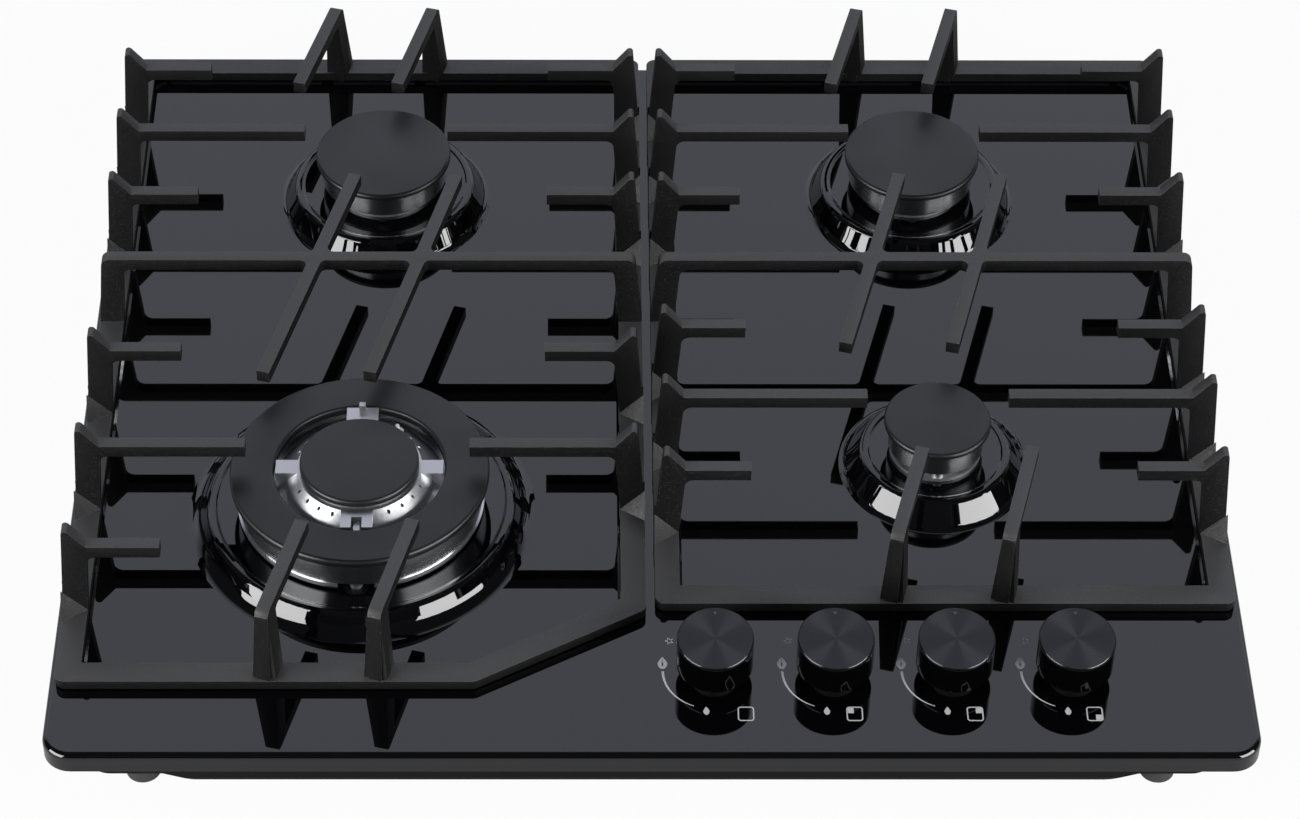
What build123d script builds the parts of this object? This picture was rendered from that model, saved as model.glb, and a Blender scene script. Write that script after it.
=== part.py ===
from build123d import *
import os
from math import atan2, cos, degrees, hypot, radians, sin, tan

# Built-in gas cooktop with four burners and two cast iron pan supports.
# Millimetres. +X to the right, +Y to the back, +Z up, origin on the surface under the
# rubber feet, below the middle of the panel.

# ---------------------------------------------------------------- driving dimensions
# enamelled top panel
PANEL_LENGTH = 580.0
PANEL_DEPTH = 510.0
PANEL_CORNER_R = 14.0
PANEL_EDGE_R = 3.0
PANEL_SHEET = 1.2
APRON_HEIGHT = 11.0
APRON_HEM = 16.0
FIELD_DROP = 1.2
FIELD_STEP = 1.2
FIELD_CORNER_R = 6.0
FIELD_MARGIN = 0.3

# sheet steel box under the panel
PANEL_OVERHANG = 13.5
PANEL_OVERHANG_DEPTH = 18.5
CUTOUT_CLEARANCE = 3.0
BOX_DROP = 45.0
BOX_SHEET = 1.2
BOX_CORNER_R = 12.0
BOX_EDGE_R = 4.0
FOOT_STANDOFF = 5.0
FOOT_R = 8.5
FOOT_HEIGHT = 12.0
FOOT_PEG_R = 3.0
FOOT_PEG_HEIGHT = 3.5
FOOT_INSET = 26.5
FOOT_INSET_DEPTH = 12.0
CORNER_PAD = 57.5
CORNER_PAD_DEPTH = 43.5
CORNER_PAD_RAMP = 20.0
INLET_BAY_SET_IN = 73.5
INLET_BAY_WIDTH = 50.0
INLET_BAY_DEPTH = 43.5
CLAMP_SPACING_X = 300.0
CLAMP_SET_IN = 11.5
CLAMP_HOLE_R = 2.25
SEAL_WIDTH = 10.0
SEAL_HEIGHT = 3.0
SEAL_INSET = 4.0

# cast iron pan supports
GRATES_GAP = 4.6
RAIL_SIDE_SET_IN = 3.3
RAIL_BACK_SET_IN = 0.3
RAIL_FRONT_SET_IN_LEFT = 41.6
RAIL_FRONT_SET_IN_RIGHT = 92.5
RAIL_WIDTH = 12.2
RAIL_CUT_RUN = 82.6
RAIL_CUT_RISE = 47.0
RAIL_CORNER_R = 5.0
RAIL_LOW = 0.9
RAIL_HIGH = 6.2
ARM_WIDTH = 6.6
ARM_HEIGHT = 6.8
SUPPORT_HEIGHT = 50.0
KINK_SET_IN = 15.0
HORN_SET_IN = 4.2
HORN_RISE = 13.6
HORN_ROUND = 1.8
CROSSBAR_SET_IN = 4.0
UNDERARM_R = 4.5
FINGER_EDGE_R = 5.0
CROSSING_R = 3.5
GUSSET_HEIGHT = 13.0
GUSSET_LENGTH = 8.0
CROSSBAR_FROM_BACK_ROW = 102.4
BACK_ROW_PITCH = 51.2
PAD_R = 4.2
SKEW = 14.8
LEG_DEPTH = 12.0
FRONT_LEG_SET_IN = 3.0
BACK_LEG_SET_IN = 5.7
LEG_FOOT_WIDTH = 11.6
LEG_FLARE_RISE = 41.0
PAD_INSET = 8.0
WOK_ROW_PITCH = 68.3
FRONT_ROW_PITCH = 50.9
SHORT_TIP_LEFT = 92.0
SHORT_TIP_RIGHT = 95.0
TIP_BACK_LEFT = 38.3
TIP_BACK_RIGHT = 35.4
TIP_WOK = 55.4
TIP_FRONT_RIGHT = 35.5
# tips of the skewed fingers from the burner they point at
BACK_LEFT_TIPS = [(-46.7, 37.2), (6.7, 37.2)]
BACK_RIGHT_TIPS = [(-43.0, 37.4), (9.7, 37.4)]
WOK_TIPS = [(-25.0, -53.0), (28.5, -52.3)]
FRONT_RIGHT_TIPS = [(-10.9, -37.7), (43.5, -36.9)]
# skewed bars: back tip from the back burner, and how far behind the front burner they end
LEFT_BARS = [(-13.0, -37.9, 50.0), (40.5, -38.6, 50.0)]
RIGHT_BARS = [(-10.0, -37.0, 36.6), (44.0, -37.9, 36.7)]

# burners, placed from the pan supports' middles and from the panel's front and back edges
BACK_LEFT_SHIFT = 3.3
BACK_RIGHT_SHIFT = -0.1
FRONT_RIGHT_SHIFT = 0.8
WOK_SHIFT = 0.5
BACK_BURNERS_SET_IN = 111.1
FRONT_RIGHT_SET_IN = 194.7
WOK_SET_IN = 159.9
PLATEAU_HEIGHT = 11.0
PLATEAU_DISH = 0.5
WOK_PLATEAU_HEIGHT = 8.8
WOK_PLATEAU_DISH = 0.5
PLATEAU_FOOT_R = 54.3
PLATEAU_CREST_R = 48.2
SMALL_PLATEAU_FOOT_R = 46.0
SMALL_PLATEAU_CREST_R = 37.9
WOK_PLATEAU_FOOT_R = 82.2
WOK_PLATEAU_CREST_R = 76.4
FOOT_ROUND = 4.5
WOK_FOOT_ROUND = 9.0
CREST_ROUND = 3.0
CREST_LIP = 3.4
DISH_SLOPE = 2.5
DISH_ROUND = 1.6
CAP_R = 36.2
HEAD_R = 33.4
SMALL_CAP_R = 26.85
SMALL_HEAD_R = 24.2
CAP_TOP = 33.0
CAP_EDGE = 29.8
HEAD_LOW = 16.0
HEAD_WALL = 2.6
HEAD_GAP = 0.8
CUP_R = 19.0
CUP_DEPTH = 24.0
CUP_WALL = 2.0
BORE_FIT = 0.5
WOK_CUP_R = 42.0
WOK_CUP_DEPTH = 26.0
WOK_CAP_R = 64.5
WOK_CAP_OVERHANG = 2.2
WOK_CAP_BORE_R = 42.4
WOK_CAP_EDGE = 28.5
WOK_SKIRT_TAPER = 1.7
WOK_SKIRT_LOW = 10.0
WOK_INNER_CAP_R = 29.6
WOK_INNER_CAP_TOP = 38.3
WOK_INNER_CAP_EDGE = 34.6
CROWN_R = 41.6
CROWN_WALL_R = 31.0
WOK_NOTCH_WIDTH = 18.0
WOK_NOTCH_HEIGHT = 2.6
WOK_NOTCH_DEPTH = 13.0
WOK_EAR_R = 6.0
WOK_EAR = 1.0
WOK_SCREW_RADIUS = 58.0
WOK_SCREW_BEARINGS = (90, 270)
WOK_FLANGE = 3.0
WOK_FLANGE_R = 53.0
WOK_LEDGE = 21.0
WOK_LEDGE_R = 40.5
WOK_RIM = 1.0
WOK_SKIRT_GAP = 1.5
WOK_JET_RADIUS = 26.0
WOK_PORTS = 60
WOK_SPARK_RADIUS = 35.4
WOK_SPARK_TIP = 31.5
CROWN_TOP = 33.0
CROWN_LUG_IN_R = 28.0
CROWN_LUGS = [(0, 9.3), (180, 9.3), (90, 15.8), (270, 15.8)]
CROWN_SLOT_WIDTH = 5.2
CROWN_SLOT_RUN = 7.0
CROWN_SLOT_DEPTH = 6.0
CROWN_TAB_WIDTH = 3.1
CROWN_TAB_DEPTH = 3.0
CROWN_TAB_RISE = 4.0
CROWN_PORTS = 4
CROWN_PORT_START = 28.0
CROWN_PORT_STEP = 13.5
CROWN_PORT_R = 0.8
BEAD = 1.0
CAP_CROWN = 0.35
CAP_EDGE_R = 1.6
SMALL_CUP_R = 14.0
MIXING_R = 10.0
SMALL_MIXING_R = 7.0
MIXING_DEPTH = 2.0
NECK_STEP = 1.5
FLANGE_STEP = 9.0
FLANGE_THICKNESS = 2.0
SPIGOT = 2.5
HEAD_EDGE = 0.8
TOOTH_DEPTH = 3.0
PORT_HEIGHT = 4.0
PORT_WIDTH = 1.4
PORT_DENSITY = 1.1
ARM_BOSS_R = 4.6
ARM_BOSS_LENGTH = 9.0
JET_HEX_R = 4.6
JET_HEX_HEIGHT = 6.0
JET_NOZZLE_R = 2.5
JET_NOZZLE_HEIGHT = 4.0
JET_HOLE_R = 0.5

# controls
KNOB_COUNT = 4
KNOB_FIRST_X = 30.3
KNOB_PITCH = 57.7
KNOB_SET_IN = 51.6
KNOB_R = 18.5
KNOB_LOW = 7.5
KNOB_TOP = 26.2
KNOB_TILT = 6.6
KNOB_WALL = 2.5
DISC_THICKNESS = 0.8
DISC_MARGIN = 0.5
PUSH_TRAVEL = 3.0
KNOB_EDGE_R = 1.0
KNOB_HOLLOW = 8.0
KNOB_HUB_WALL = 2.5
KNOB_HUB_DEPTH = 12.0
SHAFT_FIT = 0.1
COLLAR_R = 11.0
COLLAR_PEG_R = 5.0
COLLAR_HEIGHT = 3.8
SPINDLE_R = 3.0
SPINDLE_FIT = 0.35
SPINDLE_FLAT = 1.2
TANG_WIDTH = 2.4
TANG_FIT = 0.3
PLUG_R = 7.0
PLUG_FIT = 0.06
VALVE_WIDTH = 24.0
VALVE_DEPTH = 26.0
VALVE_HEIGHT = 22.0
VALVE_TOP_GAP = 5.0
VALVE_CORNER_R = 2.0
VALVE_FLOOR = 4.0
VALVE_OUTLET = 6.0
TANG_FLOOR = 3.0
RAIL_TUBE_DEPTH = 12.0
RAIL_TUBE_HEIGHT = 16.0
RAIL_TUBE_WALL = 1.5
RAIL_TUBE_LEFT = 18.0
RAIL_TUBE_RIGHT = 34.0
RAIL_FOOT_SHEET = 2.0
RAIL_FOOT_WIDTH = 14.0
RAIL_FOOT_RUN = 18.0
PIPE_R = 3.0
PIPE_WALL = 0.8
PIPE_BEND = 16.0
SUPPLY_R = 5.0
INLET_THREAD_R = 10.3
INLET_LENGTH = 18.0
INLET_BLOCK = 24.0
INLET_NECK_R = 9.0
INLET_HEX = 8.0
INLET_HEX_R = 14.0
INLET_CHAMFER = 1.0
PIPE_CROSS_X = -40.0
PIPE_CROSS_Y = 40.0
# the back right pipe's way round the front right burner
SWERVE_ASIDE = 33.3
SWERVE_START = 69.7
SWERVE_OUT = 29.7
SWERVE_BACK = 93.9
SWERVE_END = 58.9
SUPPLY_SET_IN = 15.5
SUPPLY_TURN = 45.0

# spark generator
MODULE_SET_IN = 35.5
MODULE_Y = 20.0
MODULE_WIDTH = 46.0
MODULE_DEPTH = 66.0
MODULE_HEIGHT = 24.0
MODULE_CORNER_R = 3.0
MODULE_TAB = 10.0
MODULE_TAB_WIDTH = 14.0
MODULE_POST_R = 2.5

# small parts
SCREW_HEAD_R = 3.1
SCREW_HEAD_HEIGHT = 2.2
SCREW_SHANK_R = 1.9
SCREW_LENGTH = 5.0
SCREW_HOLE_FIT = 0.15
SCREW_CROSS = 0.9
ELECTRODE_R = 3.0
ELECTRODE_PIN_R = 1.0
ELECTRODE_COLLAR = 1.2
ELECTRODE_TAIL = 14.0
ELECTRODE_PIN_LENGTH = 4.0
ELECTRODE_GAP = 4.0
ELECTRODE_BEARING = 60

# ---------------------------------------------------------------- worked-out places
panel_front = -PANEL_DEPTH / 2
panel_back = PANEL_DEPTH / 2
rail_reach = (PANEL_LENGTH / 2 - RAIL_SIDE_SET_IN - GRATES_GAP / 2) / 2
grate_x = GRATES_GAP / 2 + rail_reach
rail_back = panel_back - RAIL_BACK_SET_IN
rail_front_left = panel_front + RAIL_FRONT_SET_IN_LEFT
rail_front_right = panel_front + RAIL_FRONT_SET_IN_RIGHT
back_row = panel_back - BACK_BURNERS_SET_IN
crossbar_y = back_row - CROSSBAR_FROM_BACK_ROW
BACK_LEFT = (-grate_x + BACK_LEFT_SHIFT, back_row)
BACK_RIGHT = (grate_x + BACK_RIGHT_SHIFT, back_row)
FRONT_RIGHT = (grate_x + FRONT_RIGHT_SHIFT, panel_front + FRONT_RIGHT_SET_IN)
WOK = (-grate_x + WOK_SHIFT, panel_front + WOK_SET_IN)
KNOB_XS = [KNOB_FIRST_X + index * KNOB_PITCH for index in range(KNOB_COUNT)]
KNOB_Y = panel_front + KNOB_SET_IN
panel_top = BOX_DROP + FOOT_STANDOFF
panel_under = panel_top - PANEL_SHEET
apron_low = panel_top - APRON_HEIGHT
field_top = panel_top - FIELD_DROP
field_under = field_top - PANEL_SHEET
box_floor = panel_top - BOX_DROP
box_inside = box_floor + BOX_SHEET
box_length = PANEL_LENGTH - 2 * (PANEL_OVERHANG + CUTOUT_CLEARANCE)
box_depth = PANEL_DEPTH - 2 * (PANEL_OVERHANG_DEPTH + CUTOUT_CLEARANCE)
box_height = field_under - box_floor
pad_seat = FOOT_HEIGHT
valve_top = panel_under - VALVE_TOP_GAP
valve_low = valve_top - VALVE_HEIGHT
pipe_z = valve_low + VALVE_HEIGHT / 2
valve_front = KNOB_Y - VALVE_DEPTH / 2
valve_back = KNOB_Y + VALVE_DEPTH / 2
rail_foot_screw_y = valve_front - RAIL_TUBE_DEPTH + RAIL_FOOT_RUN - SCREW_HEAD_R - RAIL_FOOT_SHEET
rail_feet_x = [(KNOB_XS[0] + KNOB_XS[1]) / 2, (KNOB_XS[-2] + KNOB_XS[-1]) / 2]
rail_screw_spots = [(x, rail_foot_screw_y) for x in rail_feet_x]
module_x = MODULE_SET_IN - box_length / 2
module_screw_reach = (MODULE_DEPTH + MODULE_TAB) / 2
module_screw_spots = [(module_x, MODULE_Y + side * module_screw_reach) for side in (-1, 1)]

os.makedirs("parts", exist_ok=True)


def save(piece, name):
    """Label a finished piece and write it out."""
    piece.label = name
    export_step(piece, f"parts/{name}.step")


def upright(x, y):
    """Vertical plane through a burner or shaft axis: sketch x is radius, sketch y is height."""
    return Plane(origin=(x, y, 0), x_dir=(1, 0, 0), z_dir=(0, -1, 0))


def shaft(x, y):
    """Vertical axis through a point of the panel."""
    return Axis((x, y, 0), (0, 0, 1))


def over(height):
    """Height above the panel's border, as a height in the part's own frame."""
    return panel_top + height


# ---------------------------------------------------------------- rail outlines
def rail_outline(side):
    """Corner points of a pan support's outer edge; the left one has a cut corner."""
    outer = side * (grate_x + rail_reach)
    inner = side * (grate_x - rail_reach)
    if side > 0:
        front = rail_front_right
        return [(outer, rail_back), (inner, rail_back), (inner, front), (outer, front)]
    front = rail_front_left
    return [
        (outer, rail_back),
        (inner, rail_back),
        (inner, front + RAIL_CUT_RISE),
        (inner - RAIL_CUT_RUN, front),
        (outer, front),
    ]


def inset_outline(side, inset):
    """The rail outline moved inwards by an inset, as a list of points."""
    with BuildSketch() as shape:
        Polygon(*rail_outline(side), align=None)
        offset(amount=-inset, kind=Kind.INTERSECTION, mode=Mode.REPLACE)
    return shape.sketch


field_inset = RAIL_WIDTH + FIELD_MARGIN


def electrode_spot(centre, head_r):
    """Where a burner's spark electrode stands, just outside its head."""
    radius = head_r + ELECTRODE_R + ELECTRODE_COLLAR
    x, y = centre
    return (x + radius * cos(radians(ELECTRODE_BEARING)), y + radius * sin(radians(ELECTRODE_BEARING)))


def screw_spots(centre, radius):
    """Two opposite screw places beside a burner's neck."""
    x, y = centre
    return [(x, y - radius), (x, y + radius)]


small_heads = [(BACK_LEFT, HEAD_R), (BACK_RIGHT, HEAD_R), (FRONT_RIGHT, SMALL_HEAD_R)]
base_screw_r = CUP_R + (NECK_STEP + FLANGE_STEP) / 2
small_base_screw_r = SMALL_CUP_R + (NECK_STEP + FLANGE_STEP) / 2
wok_screw_spots = screw_spots(WOK, WOK_SCREW_RADIUS)
base_screw_spots = (
    screw_spots(BACK_LEFT, base_screw_r)
    + screw_spots(BACK_RIGHT, base_screw_r)
    + screw_spots(FRONT_RIGHT, small_base_screw_r)
)
screw_holes = base_screw_spots + wok_screw_spots

# ---------------------------------------------------------------- burner plateaus
# centre, foot radius, crest radius, height, dish depth, hole radius, rounding of the foot
plateaus = [
    (BACK_LEFT, PLATEAU_FOOT_R, PLATEAU_CREST_R, PLATEAU_HEIGHT, PLATEAU_DISH, CUP_R + BORE_FIT, FOOT_ROUND),
    (BACK_RIGHT, PLATEAU_FOOT_R, PLATEAU_CREST_R, PLATEAU_HEIGHT, PLATEAU_DISH, CUP_R + BORE_FIT, FOOT_ROUND),
    (FRONT_RIGHT, SMALL_PLATEAU_FOOT_R, SMALL_PLATEAU_CREST_R, PLATEAU_HEIGHT, PLATEAU_DISH,
     SMALL_CUP_R + BORE_FIT, FOOT_ROUND),
    (WOK, WOK_PLATEAU_FOOT_R, WOK_PLATEAU_CREST_R, WOK_PLATEAU_HEIGHT, WOK_PLATEAU_DISH,
     WOK_CUP_R + BORE_FIT, WOK_FOOT_ROUND),
]


def foot_reach(foot_r, crest_r, height, foot_round):
    """How far out from the foot's corner its rounding runs into the field."""
    return foot_round * tan(atan2(height + FIELD_DROP, foot_r - crest_r) / 2)


def plateau_skin(foot_r, crest_r, height, dish, hole_r, reach):
    """Corners of a raised burner seat's upper line, from the field in to the hole."""
    return [
        (foot_r + reach + PANEL_SHEET, -FIELD_DROP),
        (foot_r, -FIELD_DROP),
        (crest_r, height),
        (crest_r - CREST_LIP, height),
        (crest_r - CREST_LIP - DISH_SLOPE * dish, height - dish),
        (hole_r, height - dish),
    ]


# ---------------------------------------------------------------- top panel
with BuildPart() as panel_hollow:
    with BuildSketch(Plane.XY.offset(apron_low)):
        RectangleRounded(
            PANEL_LENGTH - 2 * PANEL_SHEET, PANEL_DEPTH - 2 * PANEL_SHEET, PANEL_CORNER_R - PANEL_SHEET
        )
    extrude(amount=APRON_HEIGHT - PANEL_SHEET)
    fillet(panel_hollow.faces().sort_by(Axis.Z)[-1].edges(), PANEL_EDGE_R - PANEL_SHEET)

with BuildPart() as top_panel:
    with BuildSketch(Plane.XY.offset(apron_low)):
        RectangleRounded(PANEL_LENGTH, PANEL_DEPTH, PANEL_CORNER_R)
    extrude(amount=APRON_HEIGHT)
    fillet(top_panel.faces().sort_by(Axis.Z)[-1].edges(), PANEL_EDGE_R)
    add(panel_hollow.part, mode=Mode.SUBTRACT)
    # hem folded in along the apron's lower edge
    with BuildSketch(Plane.XY.offset(apron_low)):
        RectangleRounded(PANEL_LENGTH - PANEL_SHEET, PANEL_DEPTH - PANEL_SHEET, PANEL_CORNER_R)
        RectangleRounded(
            PANEL_LENGTH - 2 * APRON_HEM, PANEL_DEPTH - 2 * APRON_HEM, BOX_CORNER_R, mode=Mode.SUBTRACT
        )
    extrude(amount=PANEL_SHEET)
    for side in (-1, 1):
        # sunk field inside each pan support's rail
        with BuildSketch(Plane.XY.offset(field_under)):
            add(inset_outline(side, field_inset - PANEL_SHEET))
        extrude(amount=panel_under - field_under)
        with BuildSketch(Plane.XY.offset(panel_top)) as field:
            add(inset_outline(side, field_inset))
            fillet(field.vertices(), FIELD_CORNER_R)
        extrude(amount=-FIELD_DROP, taper=degrees(atan2(FIELD_STEP, FIELD_DROP)), mode=Mode.SUBTRACT)
    for centre, foot_r, crest_r, height, dish, hole_r, foot_round in plateaus:
        reach = foot_reach(foot_r, crest_r, height, foot_round)
        with BuildSketch(Plane.XY.offset(field_under)):
            with Locations(centre):
                Circle(foot_r + reach)
        extrude(amount=PANEL_SHEET, mode=Mode.SUBTRACT)
        with BuildSketch(upright(*centre)):
            with BuildLine():
                corners = plateau_skin(foot_r, crest_r, height, dish, hole_r, reach)
                rounds = [foot_round, CREST_ROUND, DISH_ROUND, DISH_ROUND]
                FilletPolyline(*[(r, over(z)) for r, z in corners], radius=rounds)
                offset(amount=PANEL_SHEET, side=Side.LEFT)
            make_face()
        revolve(axis=shaft(*centre))
    # holes for the knob spindles, the electrodes and the burner screws
    with BuildSketch(Plane.XY.offset(field_under)):
        with Locations(*[(x, KNOB_Y) for x in KNOB_XS]):
            Circle(COLLAR_PEG_R + SCREW_HOLE_FIT)
        with Locations(*[electrode_spot(centre, head_r) for centre, head_r in small_heads]):
            Circle(ELECTRODE_R + SCREW_HOLE_FIT)
        with Locations(*screw_holes):
            Circle(SCREW_SHANK_R + SCREW_HOLE_FIT)
    extrude(amount=PLATEAU_HEIGHT + 2 * FIELD_DROP + PANEL_SHEET, mode=Mode.SUBTRACT)
save(top_panel.part, "top_panel")


# ---------------------------------------------------------------- box under the panel
bay_x = box_length / 2 - INLET_BAY_SET_IN
bay_front = box_depth / 2 - INLET_BAY_DEPTH
bay_outer = INLET_BAY_WIDTH + 2 * BOX_SHEET
pad_centre_x = box_length / 2 - CORNER_PAD / 2
pad_centre_y = box_depth / 2 - CORNER_PAD_DEPTH / 2
foot_x = box_length / 2 - FOOT_INSET
foot_y = box_depth / 2 - FOOT_INSET_DEPTH
foot_spots = [(sx * foot_x, sy * foot_y) for sx in (-1, 1) for sy in (-1, 1)]

with BuildPart() as underbox:
    with BuildSketch(Plane.XY.offset(box_floor)):
        RectangleRounded(box_length, box_depth, BOX_CORNER_R)
    extrude(amount=box_height)
    fillet(underbox.faces().sort_by(Axis.Z)[0].edges(), BOX_EDGE_R)
    with BuildSketch(Plane.XY.offset(box_inside)):
        RectangleRounded(box_length - 2 * BOX_SHEET, box_depth - 2 * BOX_SHEET, BOX_CORNER_R - BOX_SHEET)
    extrude(amount=box_height, mode=Mode.SUBTRACT)
    # floor raised over each foot, with sloping sides
    with BuildSketch(Plane.XY.offset(box_floor + BOX_SHEET)):
        for sx in (-1, 1):
            for sy in (-1, 1):
                with Locations((sx * pad_centre_x, sy * pad_centre_y)):
                    Rectangle(CORNER_PAD - 2 * BOX_SHEET, CORNER_PAD_DEPTH - 2 * BOX_SHEET)
        RectangleRounded(box_length - BOX_SHEET, box_depth - BOX_SHEET, BOX_CORNER_R, mode=Mode.INTERSECT)
    extrude(amount=pad_seat - box_floor)
    ramp = degrees(atan2(CORNER_PAD_RAMP, pad_seat - box_floor))
    for sx in (-1, 1):
        for sy in (-1, 1):
            with BuildSketch(Plane.XY.offset(box_floor)):
                ramp_centre = (sx * (pad_centre_x + CORNER_PAD_RAMP), sy * (pad_centre_y + CORNER_PAD_RAMP))
                with Locations(ramp_centre):
                    Rectangle(CORNER_PAD + 2 * CORNER_PAD_RAMP, CORNER_PAD_DEPTH + 2 * CORNER_PAD_RAMP)
            extrude(amount=pad_seat - box_floor, taper=ramp, mode=Mode.SUBTRACT)
    # bay in the back edge, open below, where the gas nipple stands
    with BuildSketch(Plane.XY.offset(box_inside)):
        with Locations((bay_x, box_depth / 2)):
            Rectangle(bay_outer, 2 * INLET_BAY_DEPTH + 2 * BOX_SHEET)
        with Locations((bay_x, box_depth)):
            Rectangle(2 * box_depth, box_depth + BOX_SHEET, mode=Mode.SUBTRACT)
    extrude(amount=box_height - BOX_SHEET)
    with BuildSketch(Plane.XY):
        with Locations((bay_x, box_depth / 2)):
            Rectangle(INLET_BAY_WIDTH, 2 * INLET_BAY_DEPTH)
    extrude(amount=box_floor + box_height - BOX_SHEET, mode=Mode.SUBTRACT)
    with BuildSketch(Plane.XZ.offset(-bay_front)):
        with Locations((bay_x, pipe_z)):
            Circle(INLET_NECK_R + BORE_FIT)
    extrude(amount=4 * BOX_SHEET, both=True, mode=Mode.SUBTRACT)
    # holes for the feet's pegs and for the worktop clamps
    with BuildSketch(Plane.XY):
        with Locations(*foot_spots):
            Circle(FOOT_PEG_R + SCREW_HOLE_FIT)
        with GridLocations(CLAMP_SPACING_X, box_depth - 2 * CLAMP_SET_IN, 2, 2):
            Circle(CLAMP_HOLE_R)
        with Locations(*rail_screw_spots, *module_screw_spots):
            Circle(SCREW_SHANK_R + SCREW_HOLE_FIT)
    extrude(amount=pad_seat + 2 * BOX_SHEET, mode=Mode.SUBTRACT)
save(underbox.part, "underbox")

with BuildPart() as feet:
    for x, y in foot_spots:
        with BuildSketch(Plane.XY):
            with Locations((x, y)):
                Circle(FOOT_R)
        extrude(amount=FOOT_HEIGHT)
        with BuildSketch(Plane.XY.offset(FOOT_HEIGHT)):
            with Locations((x, y)):
                Circle(FOOT_PEG_R)
        extrude(amount=FOOT_PEG_HEIGHT)
    chamfer(feet.faces().group_by(Axis.Z)[0].edges(), 1.0)
save(feet.part, "rubber_feet")

seal_length = PANEL_LENGTH - 2 * SEAL_INSET
seal_depth = PANEL_DEPTH - 2 * SEAL_INSET
with BuildPart() as seal:
    with BuildSketch(Plane.XY.offset(apron_low)):
        RectangleRounded(seal_length, seal_depth, PANEL_CORNER_R - SEAL_INSET)
        RectangleRounded(
            seal_length - 2 * SEAL_WIDTH, seal_depth - 2 * SEAL_WIDTH, BOX_CORNER_R - SEAL_INSET,
            mode=Mode.SUBTRACT,
        )
    extrude(amount=-SEAL_HEIGHT)
save(seal.part, "worktop_seal")


# ---------------------------------------------------------------- pan supports
arm_low = SUPPORT_HEIGHT - ARM_HEIGHT
rail_inner_reach = rail_reach - RAIL_WIDTH
kink_reach = rail_reach - KINK_SET_IN
inner_rail_x = grate_x - rail_reach + RAIL_WIDTH / 2
outer_rail_x = grate_x + rail_reach - RAIL_WIDTH / 2

# rows of side fingers: row's y, reach of the tips from the centre, sides that carry one
left_rows = [
    (back_row + BACK_ROW_PITCH, SHORT_TIP_LEFT, (-1, 1)),
    (back_row, TIP_BACK_LEFT, (-1, 1)),
    (back_row - BACK_ROW_PITCH, SHORT_TIP_LEFT, (-1, 1)),
    (WOK[1] + WOK_ROW_PITCH, SHORT_TIP_LEFT, (-1, 1)),
    (WOK[1], TIP_WOK, (-1, 1)),
    (WOK[1] - WOK_ROW_PITCH, SHORT_TIP_LEFT, (-1,)),
]
right_rows = [
    (back_row + BACK_ROW_PITCH, SHORT_TIP_RIGHT, (-1, 1)),
    (back_row, TIP_BACK_RIGHT, (-1, 1)),
    (back_row - BACK_ROW_PITCH, SHORT_TIP_RIGHT, (-1, 1)),
    (FRONT_RIGHT[1] + FRONT_ROW_PITCH, SHORT_TIP_RIGHT, (-1, 1)),
    (FRONT_RIGHT[1], TIP_FRONT_RIGHT, (-1, 1)),
    (FRONT_RIGHT[1] - FRONT_ROW_PITCH, SHORT_TIP_RIGHT, (-1, 1)),
]


def bearing_plane(x, y, bearing):
    """Vertical plane through a point: sketch x runs along the bearing, sketch y is height."""
    along = Vector(cos(radians(bearing)), sin(radians(bearing)), 0)
    return Plane(origin=(x, y, 0), x_dir=along, z_dir=(along.Y, -along.X, 0))


def arm_profile(points, rounds):
    """Closed arm profile from reaches and heights; rounds pairs a corner with its radius."""
    with BuildSketch() as profile:
        with BuildLine():
            Polyline(*[(reach, over(height)) for reach, height in points], close=True)
        make_face()
        for corner, radius in rounds:
            reach, height = points[corner]
            fillet(profile.vertices().sort_by_distance((reach, over(height), 0))[0], radius)
    return profile.sketch


def horned_arm(tip):
    """Side finger from its tip out to the horn and down to the rail."""
    points = [
        (tip, SUPPORT_HEIGHT),
        (kink_reach, SUPPORT_HEIGHT),
        (rail_reach - HORN_SET_IN, SUPPORT_HEIGHT + HORN_RISE),
        (rail_reach, RAIL_HIGH),
        (rail_reach, RAIL_LOW),
        (rail_inner_reach, RAIL_LOW),
        (rail_inner_reach, RAIL_HIGH),
        (kink_reach, arm_low),
        (tip, arm_low),
    ]
    return arm_profile(points, [(2, HORN_ROUND), (7, UNDERARM_R)])


def crossbar_profile():
    """Bar right across the support, with a leg at each end."""
    half = [
        (rail_reach - CROSSBAR_SET_IN, SUPPORT_HEIGHT),
        (rail_reach, RAIL_HIGH),
        (rail_reach, RAIL_LOW),
        (rail_inner_reach, RAIL_LOW),
        (rail_inner_reach, RAIL_HIGH),
        (kink_reach, arm_low),
    ]
    points = half + [(-reach, height) for reach, height in reversed(half)]
    last = len(half) - 1
    rounds = [(0, FINGER_EDGE_R), (-1, FINGER_EDGE_R), (last, UNDERARM_R), (last + 1, UNDERARM_R)]
    return arm_profile(points, rounds)


def end_finger_profile(run, set_in):
    """Finger that stands on the front or back rail, from its tip to the rail's outer face."""
    points = [
        (0, SUPPORT_HEIGHT),
        (run - set_in, SUPPORT_HEIGHT),
        (run, RAIL_HIGH),
        (run, RAIL_LOW),
        (run - LEG_DEPTH, RAIL_LOW),
        (run - LEG_DEPTH, RAIL_HIGH),
        (run - LEG_DEPTH - set_in / 2, arm_low),
        (0, arm_low),
    ]
    return arm_profile(points, [(1, FINGER_EDGE_R), (6, UNDERARM_R)])


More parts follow.
